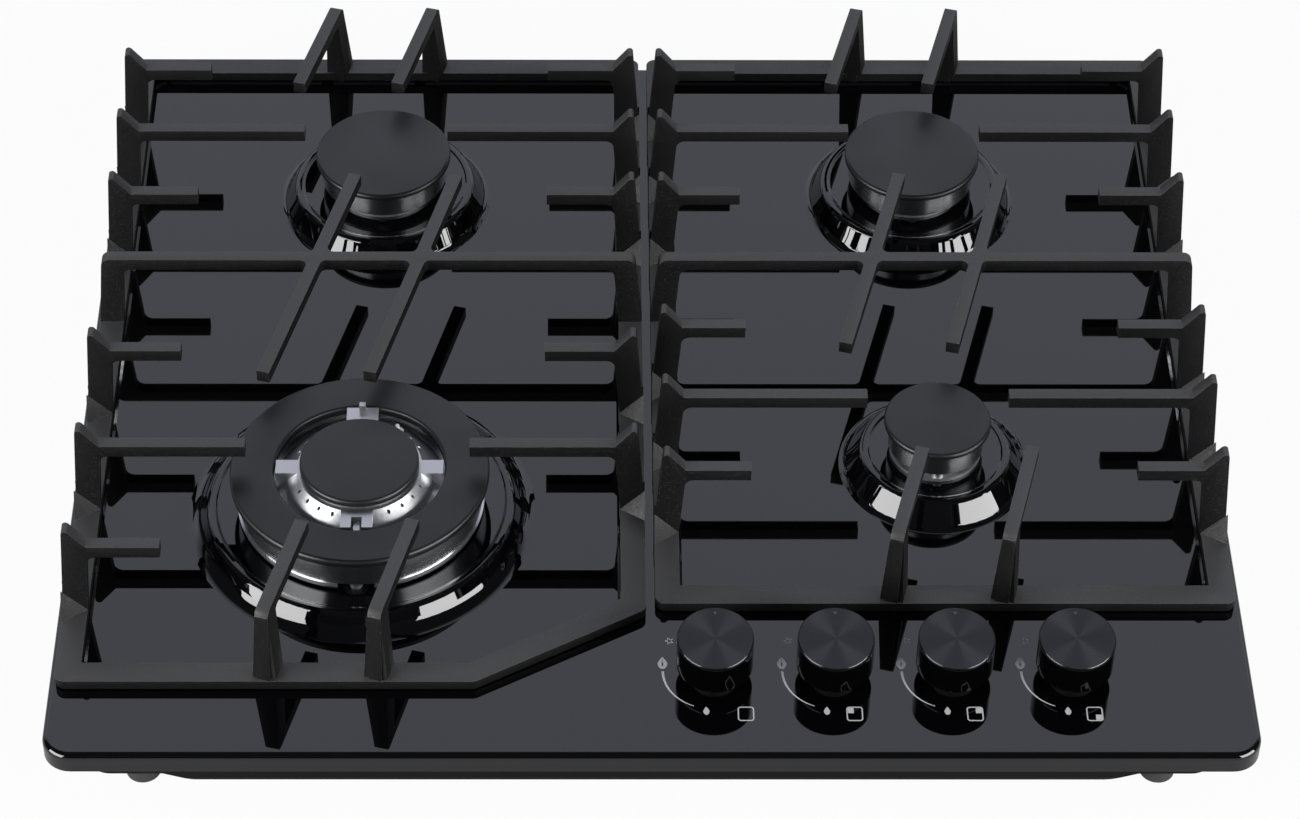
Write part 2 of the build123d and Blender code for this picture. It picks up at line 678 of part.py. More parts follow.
def leg_sections(tip, bearing, run, set_in):
    """Faces at the foot and head of an end finger's leg, which widens down to the rail."""
    along = bearing_plane(*tip, bearing).x_dir
    corner = (LEG_FOOT_WIDTH - ARM_WIDTH) / 2 * tan(radians(SKEW))
    lean = set_in * LEG_FLARE_RISE / (SUPPORT_HEIGHT - RAIL_HIGH)
    faces = []
    for height, reach, width in (
        (RAIL_HIGH, run - corner, LEG_FOOT_WIDTH),
        (RAIL_HIGH + LEG_FLARE_RISE, run - lean, ARM_WIDTH),
    ):
        level = Plane(origin=(*tip, over(height)), x_dir=along, z_dir=(0, 0, 1))
        with BuildSketch(level, mode=Mode.PRIVATE) as section:
            with Locations((reach - LEG_DEPTH / 2, 0)):
                Rectangle(LEG_DEPTH - corner, width)
        faces.append(section.sketch.face())
    return faces


def beside(burner, offsets):
    """Points given by their offsets from a burner."""
    return [(burner[0] + dx, burner[1] + dy) for dx, dy in offsets]


def pan_support(side, rows, back_tips, front_tips, bars, front_y):
    """One cast pan support: rail ring, side fingers, crossbar, skewed fingers and bars."""
    centre = side * grate_x
    bearings = {-1: 180, 1: 0}
    skew_run = ARM_WIDTH / 2 * tan(radians(SKEW))
    with BuildPart() as grate:
        with BuildSketch(Plane.XY.offset(over(RAIL_LOW))) as ring:
            add(inset_outline(side, 0))
            fillet(ring.vertices(), RAIL_CORNER_R)
            add(inset_outline(side, RAIL_WIDTH), mode=Mode.SUBTRACT)
        extrude(amount=RAIL_HIGH - RAIL_LOW)
        for y, tip, ends in rows:
            for end in ends:
                with BuildSketch(bearing_plane(centre, y, bearings[end])):
                    add(horned_arm(tip))
                extrude(amount=ARM_WIDTH / 2, both=True)
        with BuildSketch(bearing_plane(centre, crossbar_y, 0)):
            add(crossbar_profile())
        extrude(amount=ARM_WIDTH / 2, both=True)
        for x, y in back_tips:
            run = (rail_back - y) / cos(radians(SKEW)) - skew_run
            with BuildSketch(bearing_plane(x, y, 90 - SKEW)):
                add(end_finger_profile(run, BACK_LEG_SET_IN))
            extrude(amount=ARM_WIDTH / 2, both=True)
            loft(leg_sections((x, y), 90 - SKEW, run, BACK_LEG_SET_IN), ruled=True)
        for x, y in front_tips:
            run = (y - front_y) / cos(radians(SKEW)) - skew_run
            with BuildSketch(bearing_plane(x, y, 270 - SKEW)):
                add(end_finger_profile(run, FRONT_LEG_SET_IN))
            extrude(amount=ARM_WIDTH / 2, both=True)
            loft(leg_sections((x, y), 270 - SKEW, run, FRONT_LEG_SET_IN), ruled=True)
        for x, y, end_y in bars:
            length = (y - end_y) / cos(radians(SKEW))
            with BuildSketch(bearing_plane(x, y, 270 - SKEW)):
                with Locations((length / 2, over(SUPPORT_HEIGHT - ARM_HEIGHT / 2))):
                    Rectangle(length, ARM_HEIGHT)
            extrude(amount=ARM_WIDTH / 2, both=True)
        # rounded corners where the skewed bars cross the crossbar
        for x, y, end_y in bars:
            cross_x = x - (y - crossbar_y) * tan(radians(SKEW))
            corners = grate.edges().filter_by(Axis.Z).filter_by(
                lambda edge: edge.center().Z > over(arm_low)
                and hypot(edge.center().X - cross_x, edge.center().Y - crossbar_y) < ARM_WIDTH
            )
            fillet(corners, CROSSING_R)
        # wedges that stiffen each horned leg, front and back
        for y, tip, ends in rows:
            for end in ends:
                for face in (-1, 1):
                    leg_y = y + face * ARM_WIDTH / 2
                    leg_side = bearing_plane(centre, leg_y, bearings[end])
                    with BuildSketch(leg_side, mode=Mode.PRIVATE) as wedge:
                        Polygon(
                            (rail_reach, over(RAIL_HIGH)),
                            (rail_reach, over(RAIL_HIGH + GUSSET_HEIGHT)),
                            (rail_inner_reach, over(RAIL_HIGH)),
                            align=None,
                        )
                    point = Vertex(centre + end * rail_reach, leg_y + face * GUSSET_LENGTH, over(RAIL_HIGH))
                    loft([wedge.sketch.face(), point])
    return grate.part


left_bars = [(BACK_LEFT[0] + dx, back_row + dy, WOK[1] + gap) for dx, dy, gap in LEFT_BARS]
right_bars = [(BACK_RIGHT[0] + dx, back_row + dy, FRONT_RIGHT[1] + gap) for dx, dy, gap in RIGHT_BARS]
left_grate = pan_support(
    -1, left_rows, beside(BACK_LEFT, BACK_LEFT_TIPS), beside(WOK, WOK_TIPS), left_bars, rail_front_left
)
save(left_grate, "pan_support_left")
right_grate = pan_support(
    1, right_rows, beside(BACK_RIGHT, BACK_RIGHT_TIPS), beside(FRONT_RIGHT, FRONT_RIGHT_TIPS),
    right_bars, rail_front_right,
)
save(right_grate, "pan_support_right")

# rubber pads between the rails and the panel
back_pad_y = rail_back - RAIL_WIDTH / 2
left_front_y = rail_front_left + RAIL_WIDTH / 2
right_front_y = rail_front_right + RAIL_WIDTH / 2
pad_spots = {
    "left": [
        (-outer_rail_x + PAD_INSET, back_pad_y),
        (-inner_rail_x - PAD_INSET, back_pad_y),
        (-outer_rail_x + PAD_INSET, left_front_y),
        (-GRATES_GAP / 2 - RAIL_CUT_RUN - PAD_INSET, left_front_y),
        (-inner_rail_x, rail_front_left + RAIL_CUT_RISE + PAD_INSET),
    ],
    "right": [
        (inner_rail_x + PAD_INSET, back_pad_y),
        (outer_rail_x - PAD_INSET, back_pad_y),
        (inner_rail_x + PAD_INSET, right_front_y),
        (outer_rail_x - PAD_INSET, right_front_y),
    ],
}
for hand, spots in pad_spots.items():
    with BuildPart() as pads:
        with BuildSketch(Plane.XY.offset(panel_top)):
            with Locations(*spots):
                Circle(PAD_R)
        extrude(amount=RAIL_LOW)
    save(pads.part, f"support_pads_{hand}")


# ---------------------------------------------------------------- burners
def polar_spot(centre, radius, bearing):
    """Point at a radius and bearing from a burner's centre."""
    x, y = centre
    return (x + radius * cos(radians(bearing)), y + radius * sin(radians(bearing)))


def turned(centre, points):
    """Solid turned about a burner's axis from radii and heights."""
    with BuildPart() as body:
        with BuildSketch(upright(*centre)):
            with BuildLine():
                Polyline(*points, close=True)
            make_face()
        revolve(axis=shaft(*centre))
    return body.part


def gas_arm(centre, bearing, start, end):
    """Short boss on a burner cup, with the gas way that the pipe ends on."""
    x, y = polar_spot(centre, start, bearing)
    along = (cos(radians(bearing)), sin(radians(bearing)), 0)
    with BuildPart() as arm:
        with BuildSketch(Plane(origin=(x, y, pipe_z), z_dir=along)):
            Circle(ARM_BOSS_R)
        extrude(amount=end - start)
    return arm.part


def gas_way(centre, bearing, start, end):
    """Bore through a burner cup's arm."""
    x, y = polar_spot(centre, start, bearing)
    along = (cos(radians(bearing)), sin(radians(bearing)), 0)
    with BuildPart() as way:
        with BuildSketch(Plane(origin=(x, y, pipe_z), z_dir=along)):
            Circle(PIPE_R - PIPE_WALL)
        extrude(amount=end - start)
    return way.part


def injector(centre, floor):
    """Brass jet with a hexagon and a small hole."""
    with BuildPart() as jet:
        with BuildSketch(Plane.XY.offset(floor)):
            with Locations(centre):
                RegularPolygon(JET_HEX_R, 6)
        extrude(amount=JET_HEX_HEIGHT)
        with BuildSketch(Plane.XY.offset(floor + JET_HEX_HEIGHT)):
            with Locations(centre):
                Circle(JET_NOZZLE_R)
        extrude(amount=JET_NOZZLE_HEIGHT)
        with BuildSketch(Plane.XY.offset(floor)):
            with Locations(centre):
                Circle(JET_HOLE_R)
        extrude(amount=JET_HEX_HEIGHT + JET_NOZZLE_HEIGHT, mode=Mode.SUBTRACT)
    return jet.part


def electrode(spot, seat, tip):
    """Spark electrode: ceramic through the panel with a collar on it, and a steel pin."""
    with BuildPart() as spark:
        with BuildSketch(Plane.XY.offset(seat)):
            with Locations(spot):
                Circle(ELECTRODE_R + ELECTRODE_COLLAR)
        extrude(amount=ELECTRODE_COLLAR)
        with BuildSketch(Plane.XY.offset(seat - ELECTRODE_TAIL)):
            with Locations(spot):
                Circle(ELECTRODE_R)
        extrude(amount=ELECTRODE_TAIL + tip - seat - ELECTRODE_PIN_LENGTH)
        with BuildSketch(Plane.XY.offset(seat - ELECTRODE_TAIL - ELECTRODE_PIN_LENGTH)):
            with Locations(spot):
                Circle(ELECTRODE_PIN_R)
        extrude(amount=tip - seat + ELECTRODE_TAIL + ELECTRODE_PIN_LENGTH)
    return spark.part


def small_burner(name, centre, cap_r, head_r, cup_r, tube_r, arm_bearing):
    """Base cup, jet, head, cap and electrode of a single-crown burner."""
    seat = over(PLATEAU_HEIGHT - PLATEAU_DISH)
    cup_low = over(-CUP_DEPTH)
    head_low = over(HEAD_LOW)
    cap_low = over(CAP_EDGE)
    head_top = cap_low - HEAD_GAP
    neck_r = cup_r + NECK_STEP
    flange_r = cup_r + FLANGE_STEP
    bore_r = cup_r - CUP_WALL
    spigot_r = bore_r - 2 * BORE_FIT
    tooth_r = head_r - HEAD_WALL
    arm_end = cup_r + ARM_BOSS_LENGTH

    with BuildPart() as base:
        add(turned(centre, [
            (0, cup_low), (cup_r, cup_low), (cup_r, seat), (flange_r, seat),
            (flange_r, seat + FLANGE_THICKNESS), (neck_r, seat + FLANGE_THICKNESS),
            (neck_r, head_low), (bore_r, head_low),
            (bore_r, cup_low + CUP_WALL), (0, cup_low + CUP_WALL),
        ]))
        add(gas_arm(centre, arm_bearing, bore_r + CUP_WALL / 2, arm_end))
        add(gas_way(centre, arm_bearing, bore_r - CUP_WALL, arm_end), mode=Mode.SUBTRACT)
        with BuildSketch(Plane.XY.offset(seat)):
            with Locations(*screw_spots(centre, (neck_r + flange_r) / 2)):
                Circle(SCREW_SHANK_R + SCREW_HOLE_FIT)
        extrude(amount=FLANGE_THICKNESS, mode=Mode.SUBTRACT)
    save(base.part, f"{name}_burner_base")

    save(injector(centre, cup_low + CUP_WALL), f"{name}_injector")

    with BuildPart() as head:
        add(turned(centre, [
            (tube_r - CUP_WALL, over(-MIXING_DEPTH)), (tube_r, over(-MIXING_DEPTH)), (tube_r, head_low),
            (spigot_r - CUP_WALL, head_low), (spigot_r - CUP_WALL, head_low - SPIGOT),
            (spigot_r, head_low - SPIGOT), (spigot_r, head_low),
            (head_r - HEAD_EDGE, head_low), (head_r, head_low + HEAD_EDGE), (head_r, head_top),
            (tooth_r, head_top), (tooth_r, cap_low), (tooth_r - TOOTH_DEPTH, cap_low),
            (tooth_r - TOOTH_DEPTH, head_low + CUP_WALL), (tube_r - CUP_WALL, head_low + CUP_WALL),
        ]))
        with BuildSketch(Plane.XY.offset(cap_low - PORT_HEIGHT)):
            with Locations(centre):
                with PolarLocations(tooth_r - TOOTH_DEPTH / 2, round(PORT_DENSITY * head_r)):
                    Rectangle(2 * TOOTH_DEPTH, PORT_WIDTH)
                Circle(tooth_r, mode=Mode.INTERSECT)
        extrude(amount=PORT_HEIGHT, mode=Mode.SUBTRACT)
    save(head.part, f"{name}_burner_head")

    ring_r = tooth_r - TOOTH_DEPTH - BORE_FIT
    with BuildPart() as cap:
        with BuildSketch(upright(*centre)) as profile:
            with BuildLine():
                Polyline(
                    (0, over(CAP_TOP)), (cap_r, over(CAP_TOP) - CAP_CROWN), (cap_r, cap_low),
                    (ring_r, cap_low), (ring_r, cap_low - SPIGOT), (ring_r - CUP_WALL, cap_low - SPIGOT),
                    (ring_r - CUP_WALL, cap_low), (0, cap_low), close=True,
                )
            make_face()
        revolve(axis=shaft(*centre))
        rim = cap.edges().filter_by(GeomType.CIRCLE).filter_by(
            lambda edge: edge.center().Z > over(CAP_TOP) - 2 * CAP_CROWN
        )
        fillet(rim, CAP_EDGE_R)
    save(cap.part, f"{name}_burner_cap")

    save(electrode(electrode_spot(centre, head_r), seat, cap_low - ELECTRODE_GAP), f"{name}_electrode")


small_burner("back_left", BACK_LEFT, CAP_R, HEAD_R, CUP_R, MIXING_R, 0)
small_burner("back_right", BACK_RIGHT, CAP_R, HEAD_R, CUP_R, MIXING_R, 270)
small_burner("front_right", FRONT_RIGHT, SMALL_CAP_R, SMALL_HEAD_R, SMALL_CUP_R, SMALL_MIXING_R, 0)

# ---------------------------------------------------------------- wok burner
wok_seat = over(WOK_PLATEAU_HEIGHT - WOK_PLATEAU_DISH)
wok_low = over(-WOK_CUP_DEPTH)
ring_low = over(WOK_SKIRT_LOW)
ring_floor = wok_seat + WOK_FLANGE
ledge = over(WOK_LEDGE)
wok_cap_low = over(WOK_CAP_EDGE)
skirt_top = wok_cap_low - WOK_SKIRT_GAP
skirt_top_r = WOK_CAP_R - WOK_CAP_OVERHANG
skirt_low_r = skirt_top_r - WOK_SKIRT_TAPER
wok_bore_r = WOK_CUP_R - CUP_WALL
wok_arm_end = WOK_CUP_R + ARM_BOSS_LENGTH
wok_electrode_spot = polar_spot(WOK, WOK_SPARK_RADIUS, ELECTRODE_BEARING)
inner_wall_r = WOK_CAP_BORE_R + WOK_RIM

with BuildPart() as wok_base:
    add(turned(WOK, [
        (0, wok_low), (WOK_CUP_R, wok_low), (WOK_CUP_R, wok_seat), (WOK_FLANGE_R, wok_seat),
        (WOK_FLANGE_R, ring_floor), (wok_bore_r, ring_floor), (wok_bore_r, wok_low + CUP_WALL),
        (0, wok_low + CUP_WALL),
    ]))
    add(gas_arm(WOK, 0, wok_bore_r + CUP_WALL / 2, wok_arm_end))
    add(gas_way(WOK, 0, wok_bore_r - CUP_WALL, wok_arm_end), mode=Mode.SUBTRACT)
    # ears for the two screws, cut back to let the screw heads sit low
    with BuildSketch(Plane.XY.offset(wok_seat)):
        with Locations(*wok_screw_spots):
            Circle(WOK_EAR_R)
    extrude(amount=WOK_EAR)
    with BuildSketch(Plane.XY.offset(wok_seat + WOK_EAR)):
        with Locations(*wok_screw_spots):
            Circle(WOK_EAR_R)
    extrude(amount=WOK_FLANGE, mode=Mode.SUBTRACT)
    with BuildSketch(Plane.XY.offset(wok_low)):
        with Locations(*wok_screw_spots):
            Circle(SCREW_SHANK_R + SCREW_HOLE_FIT)
        with Locations(wok_electrode_spot):
            Circle(ELECTRODE_R + SCREW_HOLE_FIT)
    extrude(until=Until.LAST, mode=Mode.SUBTRACT)
save(wok_base.part, "wok_burner_base")
save(electrode(wok_electrode_spot, wok_low + CUP_WALL, over(WOK_SPARK_TIP)), "wok_electrode")

with BuildPart() as wok_jets:
    for spot in (WOK, polar_spot(WOK, WOK_JET_RADIUS, 90)):
        add(injector(spot, wok_low + CUP_WALL))
save(wok_jets.part, "wok_injectors")

with BuildPart() as wok_ring:
    add(turned(WOK, [
        (WOK_LEDGE_R, ring_floor), (WOK_FLANGE_R + BORE_FIT, ring_floor),
        (WOK_FLANGE_R + BORE_FIT, ring_low),
        (skirt_low_r + BEAD, ring_low), (skirt_low_r + BEAD, ring_low + BEAD),
        (skirt_low_r, ring_low + 1.5 * BEAD), (skirt_top_r, skirt_top - BEAD),
        (skirt_top_r, skirt_top), (skirt_top_r - HEAD_WALL, skirt_top),
        (skirt_top_r - HEAD_WALL, wok_cap_low), (skirt_top_r - HEAD_WALL - TOOTH_DEPTH, wok_cap_low),
        (skirt_top_r - HEAD_WALL - TOOTH_DEPTH, ring_floor + CUP_WALL),
        (inner_wall_r + CUP_WALL, ring_floor + CUP_WALL), (inner_wall_r + CUP_WALL, wok_cap_low),
        (inner_wall_r, wok_cap_low), (inner_wall_r, ledge), (WOK_LEDGE_R, ledge),
    ]))
    with BuildSketch(Plane.XY.offset(wok_cap_low - PORT_HEIGHT)):
        with Locations(WOK):
            with PolarLocations(skirt_top_r - HEAD_WALL - TOOTH_DEPTH / 2, WOK_PORTS):
                Rectangle(2 * TOOTH_DEPTH, PORT_WIDTH)
            Circle(skirt_top_r - HEAD_WALL, mode=Mode.INTERSECT)
    extrude(amount=PORT_HEIGHT, mode=Mode.SUBTRACT)
    # notches in the skirt's lower edge over the two screws
    for bearing in WOK_SCREW_BEARINGS:
        with BuildSketch(Plane.XY.offset(ring_low)):
            with Locations(polar_spot(WOK, skirt_low_r, bearing)):
                Rectangle(WOK_NOTCH_WIDTH, WOK_NOTCH_DEPTH)
        extrude(amount=WOK_NOTCH_HEIGHT, mode=Mode.SUBTRACT)
save(wok_ring.part, "wok_burner_ring")

with BuildPart() as ring_cap:
    with BuildSketch(upright(*WOK)):
        with BuildLine():
            Polyline(
                (WOK_CAP_BORE_R, over(CAP_TOP) - CAP_CROWN), (WOK_CAP_R, over(CAP_TOP) - 2 * CAP_CROWN),
                (WOK_CAP_R, wok_cap_low), (WOK_CAP_BORE_R, wok_cap_low), close=True,
            )
        make_face()
        with BuildLine():
            locating_r = inner_wall_r + CUP_WALL + BORE_FIT
            Polyline(
                (locating_r, wok_cap_low), (locating_r + CUP_WALL, wok_cap_low),
                (locating_r + CUP_WALL, wok_cap_low - SPIGOT), (locating_r, wok_cap_low - SPIGOT),
                close=True,
            )
        make_face()
    revolve(axis=shaft(*WOK))
    rims = ring_cap.edges().filter_by(GeomType.CIRCLE).filter_by(
        lambda edge: edge.center().Z > over(CAP_TOP) - 3 * CAP_CROWN
    )
    fillet(rims, CAP_EDGE_R)
save(ring_cap.part, "wok_ring_cap")

crown_seat = over(WOK_INNER_CAP_EDGE)
with BuildPart() as crown:
    add(turned(WOK, [
        (MIXING_R, wok_seat), (MIXING_R, ledge), (CROWN_R, ledge), (CROWN_R, ledge + CUP_WALL),
        (CROWN_WALL_R + CUP_WALL, over(CROWN_TOP) - CUP_WALL), (CROWN_WALL_R, over(CROWN_TOP)),
        (CROWN_WALL_R - TOOTH_DEPTH, over(CROWN_TOP)), (CROWN_WALL_R - TOOTH_DEPTH, crown_seat),
        (CROWN_WALL_R - 2 * TOOTH_DEPTH, crown_seat), (CROWN_WALL_R - 2 * TOOTH_DEPTH, ledge + CUP_WALL),
        (MIXING_R - CUP_WALL, ledge + CUP_WALL), (MIXING_R - CUP_WALL, wok_seat),
    ]))
    # side lugs, front pair of lugs and back block with its upright tab
    with BuildSketch(Plane.XY.offset(ledge)):
        for bearing, width in CROWN_LUGS:
            with Locations(Location(polar_spot(WOK, (CROWN_LUG_IN_R + CROWN_R) / 2, bearing), bearing)):
                Rectangle(CROWN_R - CROWN_LUG_IN_R, width)
    extrude(amount=over(CROWN_TOP) - ledge)
    with BuildSketch(Plane.XY.offset(over(CROWN_TOP) - CROWN_SLOT_DEPTH)):
        with Locations(polar_spot(WOK, CROWN_R, 270)):
            Rectangle(CROWN_SLOT_WIDTH, 2 * CROWN_SLOT_RUN)
    extrude(amount=CROWN_SLOT_DEPTH, mode=Mode.SUBTRACT)
    with BuildSketch(Plane.XY.offset(over(CROWN_TOP) - CROWN_SLOT_DEPTH)):
        with Locations(polar_spot(WOK, CROWN_R - CROWN_SLOT_RUN / 2, 270)):
            Rectangle(CROWN_TAB_WIDTH, CROWN_SLOT_RUN)
    extrude(amount=CROWN_SLOT_DEPTH / 2)
    with BuildSketch(Plane.XY.offset(over(CROWN_TOP))):
        with Locations(polar_spot(WOK, CROWN_R - CROWN_TAB_DEPTH / 2, 90)):
            Rectangle(CROWN_TAB_WIDTH, CROWN_TAB_DEPTH)
    extrude(amount=CROWN_TAB_RISE)
    with BuildSketch(Plane.XY.offset(ledge)):
        with Locations(wok_electrode_spot):
            Circle(ELECTRODE_R + 2 * BORE_FIT)
    extrude(until=Until.LAST, mode=Mode.SUBTRACT)
    # flame ports around the sloping wall, four to a quarter
    for quarter in range(4):
        for step in range(CROWN_PORTS):
            bearing = 90 * quarter + CROWN_PORT_START + step * CROWN_PORT_STEP
            x, y = polar_spot(WOK, CROWN_WALL_R - 2 * TOOTH_DEPTH, bearing)
            along = (cos(radians(bearing)), sin(radians(bearing)), 0)
            with BuildSketch(Plane(origin=(x, y, over(CROWN_TOP) - CUP_WALL), z_dir=along)):
                Circle(CROWN_PORT_R)
            extrude(amount=4 * TOOTH_DEPTH, mode=Mode.SUBTRACT)
save(crown.part, "wok_inner_crown")

with BuildPart() as inner_cap:
    with BuildSketch(upright(*WOK)):
        spigot_r = CROWN_WALL_R - 2 * TOOTH_DEPTH - BORE_FIT
        with BuildLine():
            Polyline(
                (0, over(WOK_INNER_CAP_TOP)), (WOK_INNER_CAP_R, over(WOK_INNER_CAP_TOP) - CAP_CROWN),
                (WOK_INNER_CAP_R, crown_seat), (spigot_r, crown_seat), (spigot_r, crown_seat - SPIGOT),
                (spigot_r - CUP_WALL, crown_seat - SPIGOT), (spigot_r - CUP_WALL, crown_seat),
                (0, crown_seat), close=True,
            )
        make_face()
    revolve(axis=shaft(*WOK))
    rim = inner_cap.edges().filter_by(GeomType.CIRCLE).filter_by(
        lambda edge: edge.center().Z > over(WOK_INNER_CAP_TOP) - 2 * CAP_CROWN
    )
    fillet(rim, CAP_EDGE_R)
save(inner_cap.part, "wok_inner_cap")

# ---------------------------------------------------------------- controls
tilt_normal = (0, -sin(radians(KNOB_TILT)), cos(radians(KNOB_TILT)))
knob_low = over(KNOB_LOW)
valve_bore_low = valve_low + VALVE_FLOOR
plug_top = valve_top
tang_low = valve_bore_low + PUSH_TRAVEL + TANG_FLOOR
slot_low = tang_low - PUSH_TRAVEL - TANG_FIT
rail_front = valve_front - RAIL_TUBE_DEPTH
rail_mid_y = valve_front - RAIL_TUBE_DEPTH / 2
rail_left_x = KNOB_XS[0] - RAIL_TUBE_LEFT
rail_right_x = KNOB_XS[-1] + RAIL_TUBE_RIGHT
rail_tube_low = pipe_z - RAIL_TUBE_HEIGHT / 2

for number, knob_x in enumerate(KNOB_XS, start=1):
    top_plane = Plane(origin=(knob_x, KNOB_Y, over(KNOB_TOP)), x_dir=(1, 0, 0), z_dir=tilt_normal)
    with BuildPart() as knob:
        with BuildSketch(Plane.XY.offset(knob_low)):
            with Locations((knob_x, KNOB_Y)):
                Circle(KNOB_R)
        extrude(amount=KNOB_TOP)
        split(bisect_by=top_plane.offset(-DISC_THICKNESS), keep=Keep.BOTTOM)
        fillet(knob.edges().group_by(Axis.Z)[0], KNOB_EDGE_R)
        with BuildSketch(Plane.XY.offset(knob_low)):
            with Locations((knob_x, KNOB_Y)):
                Circle(KNOB_R - KNOB_WALL)
                Circle(SPINDLE_R + KNOB_HUB_WALL, mode=Mode.SUBTRACT)
        extrude(amount=KNOB_HOLLOW, mode=Mode.SUBTRACT)
        with BuildSketch(Plane.XY.offset(knob_low)):
            with Locations((knob_x, KNOB_Y)):
                Circle(SPINDLE_R + SHAFT_FIT)
            with Locations((knob_x, KNOB_Y + 2 * SPINDLE_R - SPINDLE_FLAT + SHAFT_FIT)):
                Rectangle(4 * SPINDLE_R, 2 * SPINDLE_R, mode=Mode.SUBTRACT)
        extrude(amount=KNOB_HUB_DEPTH, mode=Mode.SUBTRACT)
    save(knob.part, f"knob_{number}")

    with BuildPart() as disc:
        with BuildSketch(top_plane.offset(-DISC_THICKNESS)):
            Circle(KNOB_R - DISC_MARGIN)
        extrude(amount=DISC_THICKNESS)
        chamfer(disc.edges().filter_by(GeomType.CIRCLE).sort_by(Axis.Z)[-1], DISC_THICKNESS / 4)
    save(disc.part, f"knob_disc_{number}")

    with BuildPart() as spindle:
        with BuildSketch(Plane.XY.offset(plug_top + PUSH_TRAVEL + SPINDLE_FIT)):
            with Locations((knob_x, KNOB_Y)):
                Circle(SPINDLE_R)
        extrude(amount=knob_low - plug_top - PUSH_TRAVEL - SPINDLE_FIT)
        with BuildSketch(Plane.XY.offset(knob_low)):
            with Locations((knob_x, KNOB_Y)):
                Circle(SPINDLE_R)
            with Locations((knob_x, KNOB_Y + 2 * SPINDLE_R - SPINDLE_FLAT)):
                Rectangle(4 * SPINDLE_R, 2 * SPINDLE_R, mode=Mode.SUBTRACT)
        extrude(amount=KNOB_HUB_DEPTH)
        with BuildSketch(Plane.XY.offset(tang_low)):
            with Locations((knob_x, KNOB_Y)):
                Rectangle(2 * SPINDLE_R - TANG_FIT, TANG_WIDTH)
        extrude(amount=plug_top + PUSH_TRAVEL + SPINDLE_FIT - tang_low)
    save(spindle.part, f"spindle_{number}")

    with BuildPart() as plug:
        with BuildSketch(Plane.XY.offset(valve_bore_low)):
            with Locations((knob_x, KNOB_Y)):
                Circle(PLUG_R)
        extrude(amount=plug_top - valve_bore_low)
        with BuildSketch(Plane.XY.offset(slot_low)):
            with Locations((knob_x, KNOB_Y)):
                Rectangle(2 * SPINDLE_R + TANG_FIT, TANG_WIDTH + 2 * TANG_FIT)
        extrude(amount=plug_top - slot_low, mode=Mode.SUBTRACT)
    save(plug.part, f"valve_plug_{number}")

    with BuildPart() as valve:
        with BuildSketch(Plane.XY.offset(valve_low)):
            with Locations((knob_x, KNOB_Y)):
                RectangleRounded(VALVE_WIDTH, VALVE_DEPTH, VALVE_CORNER_R)
        extrude(amount=VALVE_HEIGHT)
        with BuildSketch(Plane.XY.offset(valve_bore_low)):
            with Locations((knob_x, KNOB_Y)):
                Circle(PLUG_R + PLUG_FIT)
        extrude(amount=VALVE_HEIGHT, mode=Mode.SUBTRACT)
        with BuildSketch(Plane.XZ.offset(-valve_back)):
            with Locations((knob_x, pipe_z)):
                Circle(ARM_BOSS_R)
        extrude(amount=-VALVE_OUTLET)
        with BuildSketch(Plane.XZ.offset(-valve_back - VALVE_OUTLET)):
            with Locations((knob_x, pipe_z)):
                Circle(PIPE_R - PIPE_WALL)
        extrude(amount=VALVE_OUTLET + VALVE_DEPTH / 2 - PLUG_R / 2, mode=Mode.SUBTRACT)
    save(valve.part, f"gas_valve_{number}")

with BuildPart() as collars:
    with BuildSketch(Plane.XY.offset(panel_top)):
        with Locations(*[(x, KNOB_Y) for x in KNOB_XS]):
            Circle(COLLAR_R)
            Circle(SPINDLE_R + SPINDLE_FIT, mode=Mode.SUBTRACT)
    extrude(amount=COLLAR_HEIGHT)
    with BuildSketch(Plane.XY.offset(panel_under)):
        with Locations(*[(x, KNOB_Y) for x in KNOB_XS]):
            Circle(COLLAR_PEG_R)
            Circle(SPINDLE_R + SPINDLE_FIT, mode=Mode.SUBTRACT)
    extrude(amount=PANEL_SHEET)
save(collars.part, "spindle_collars")

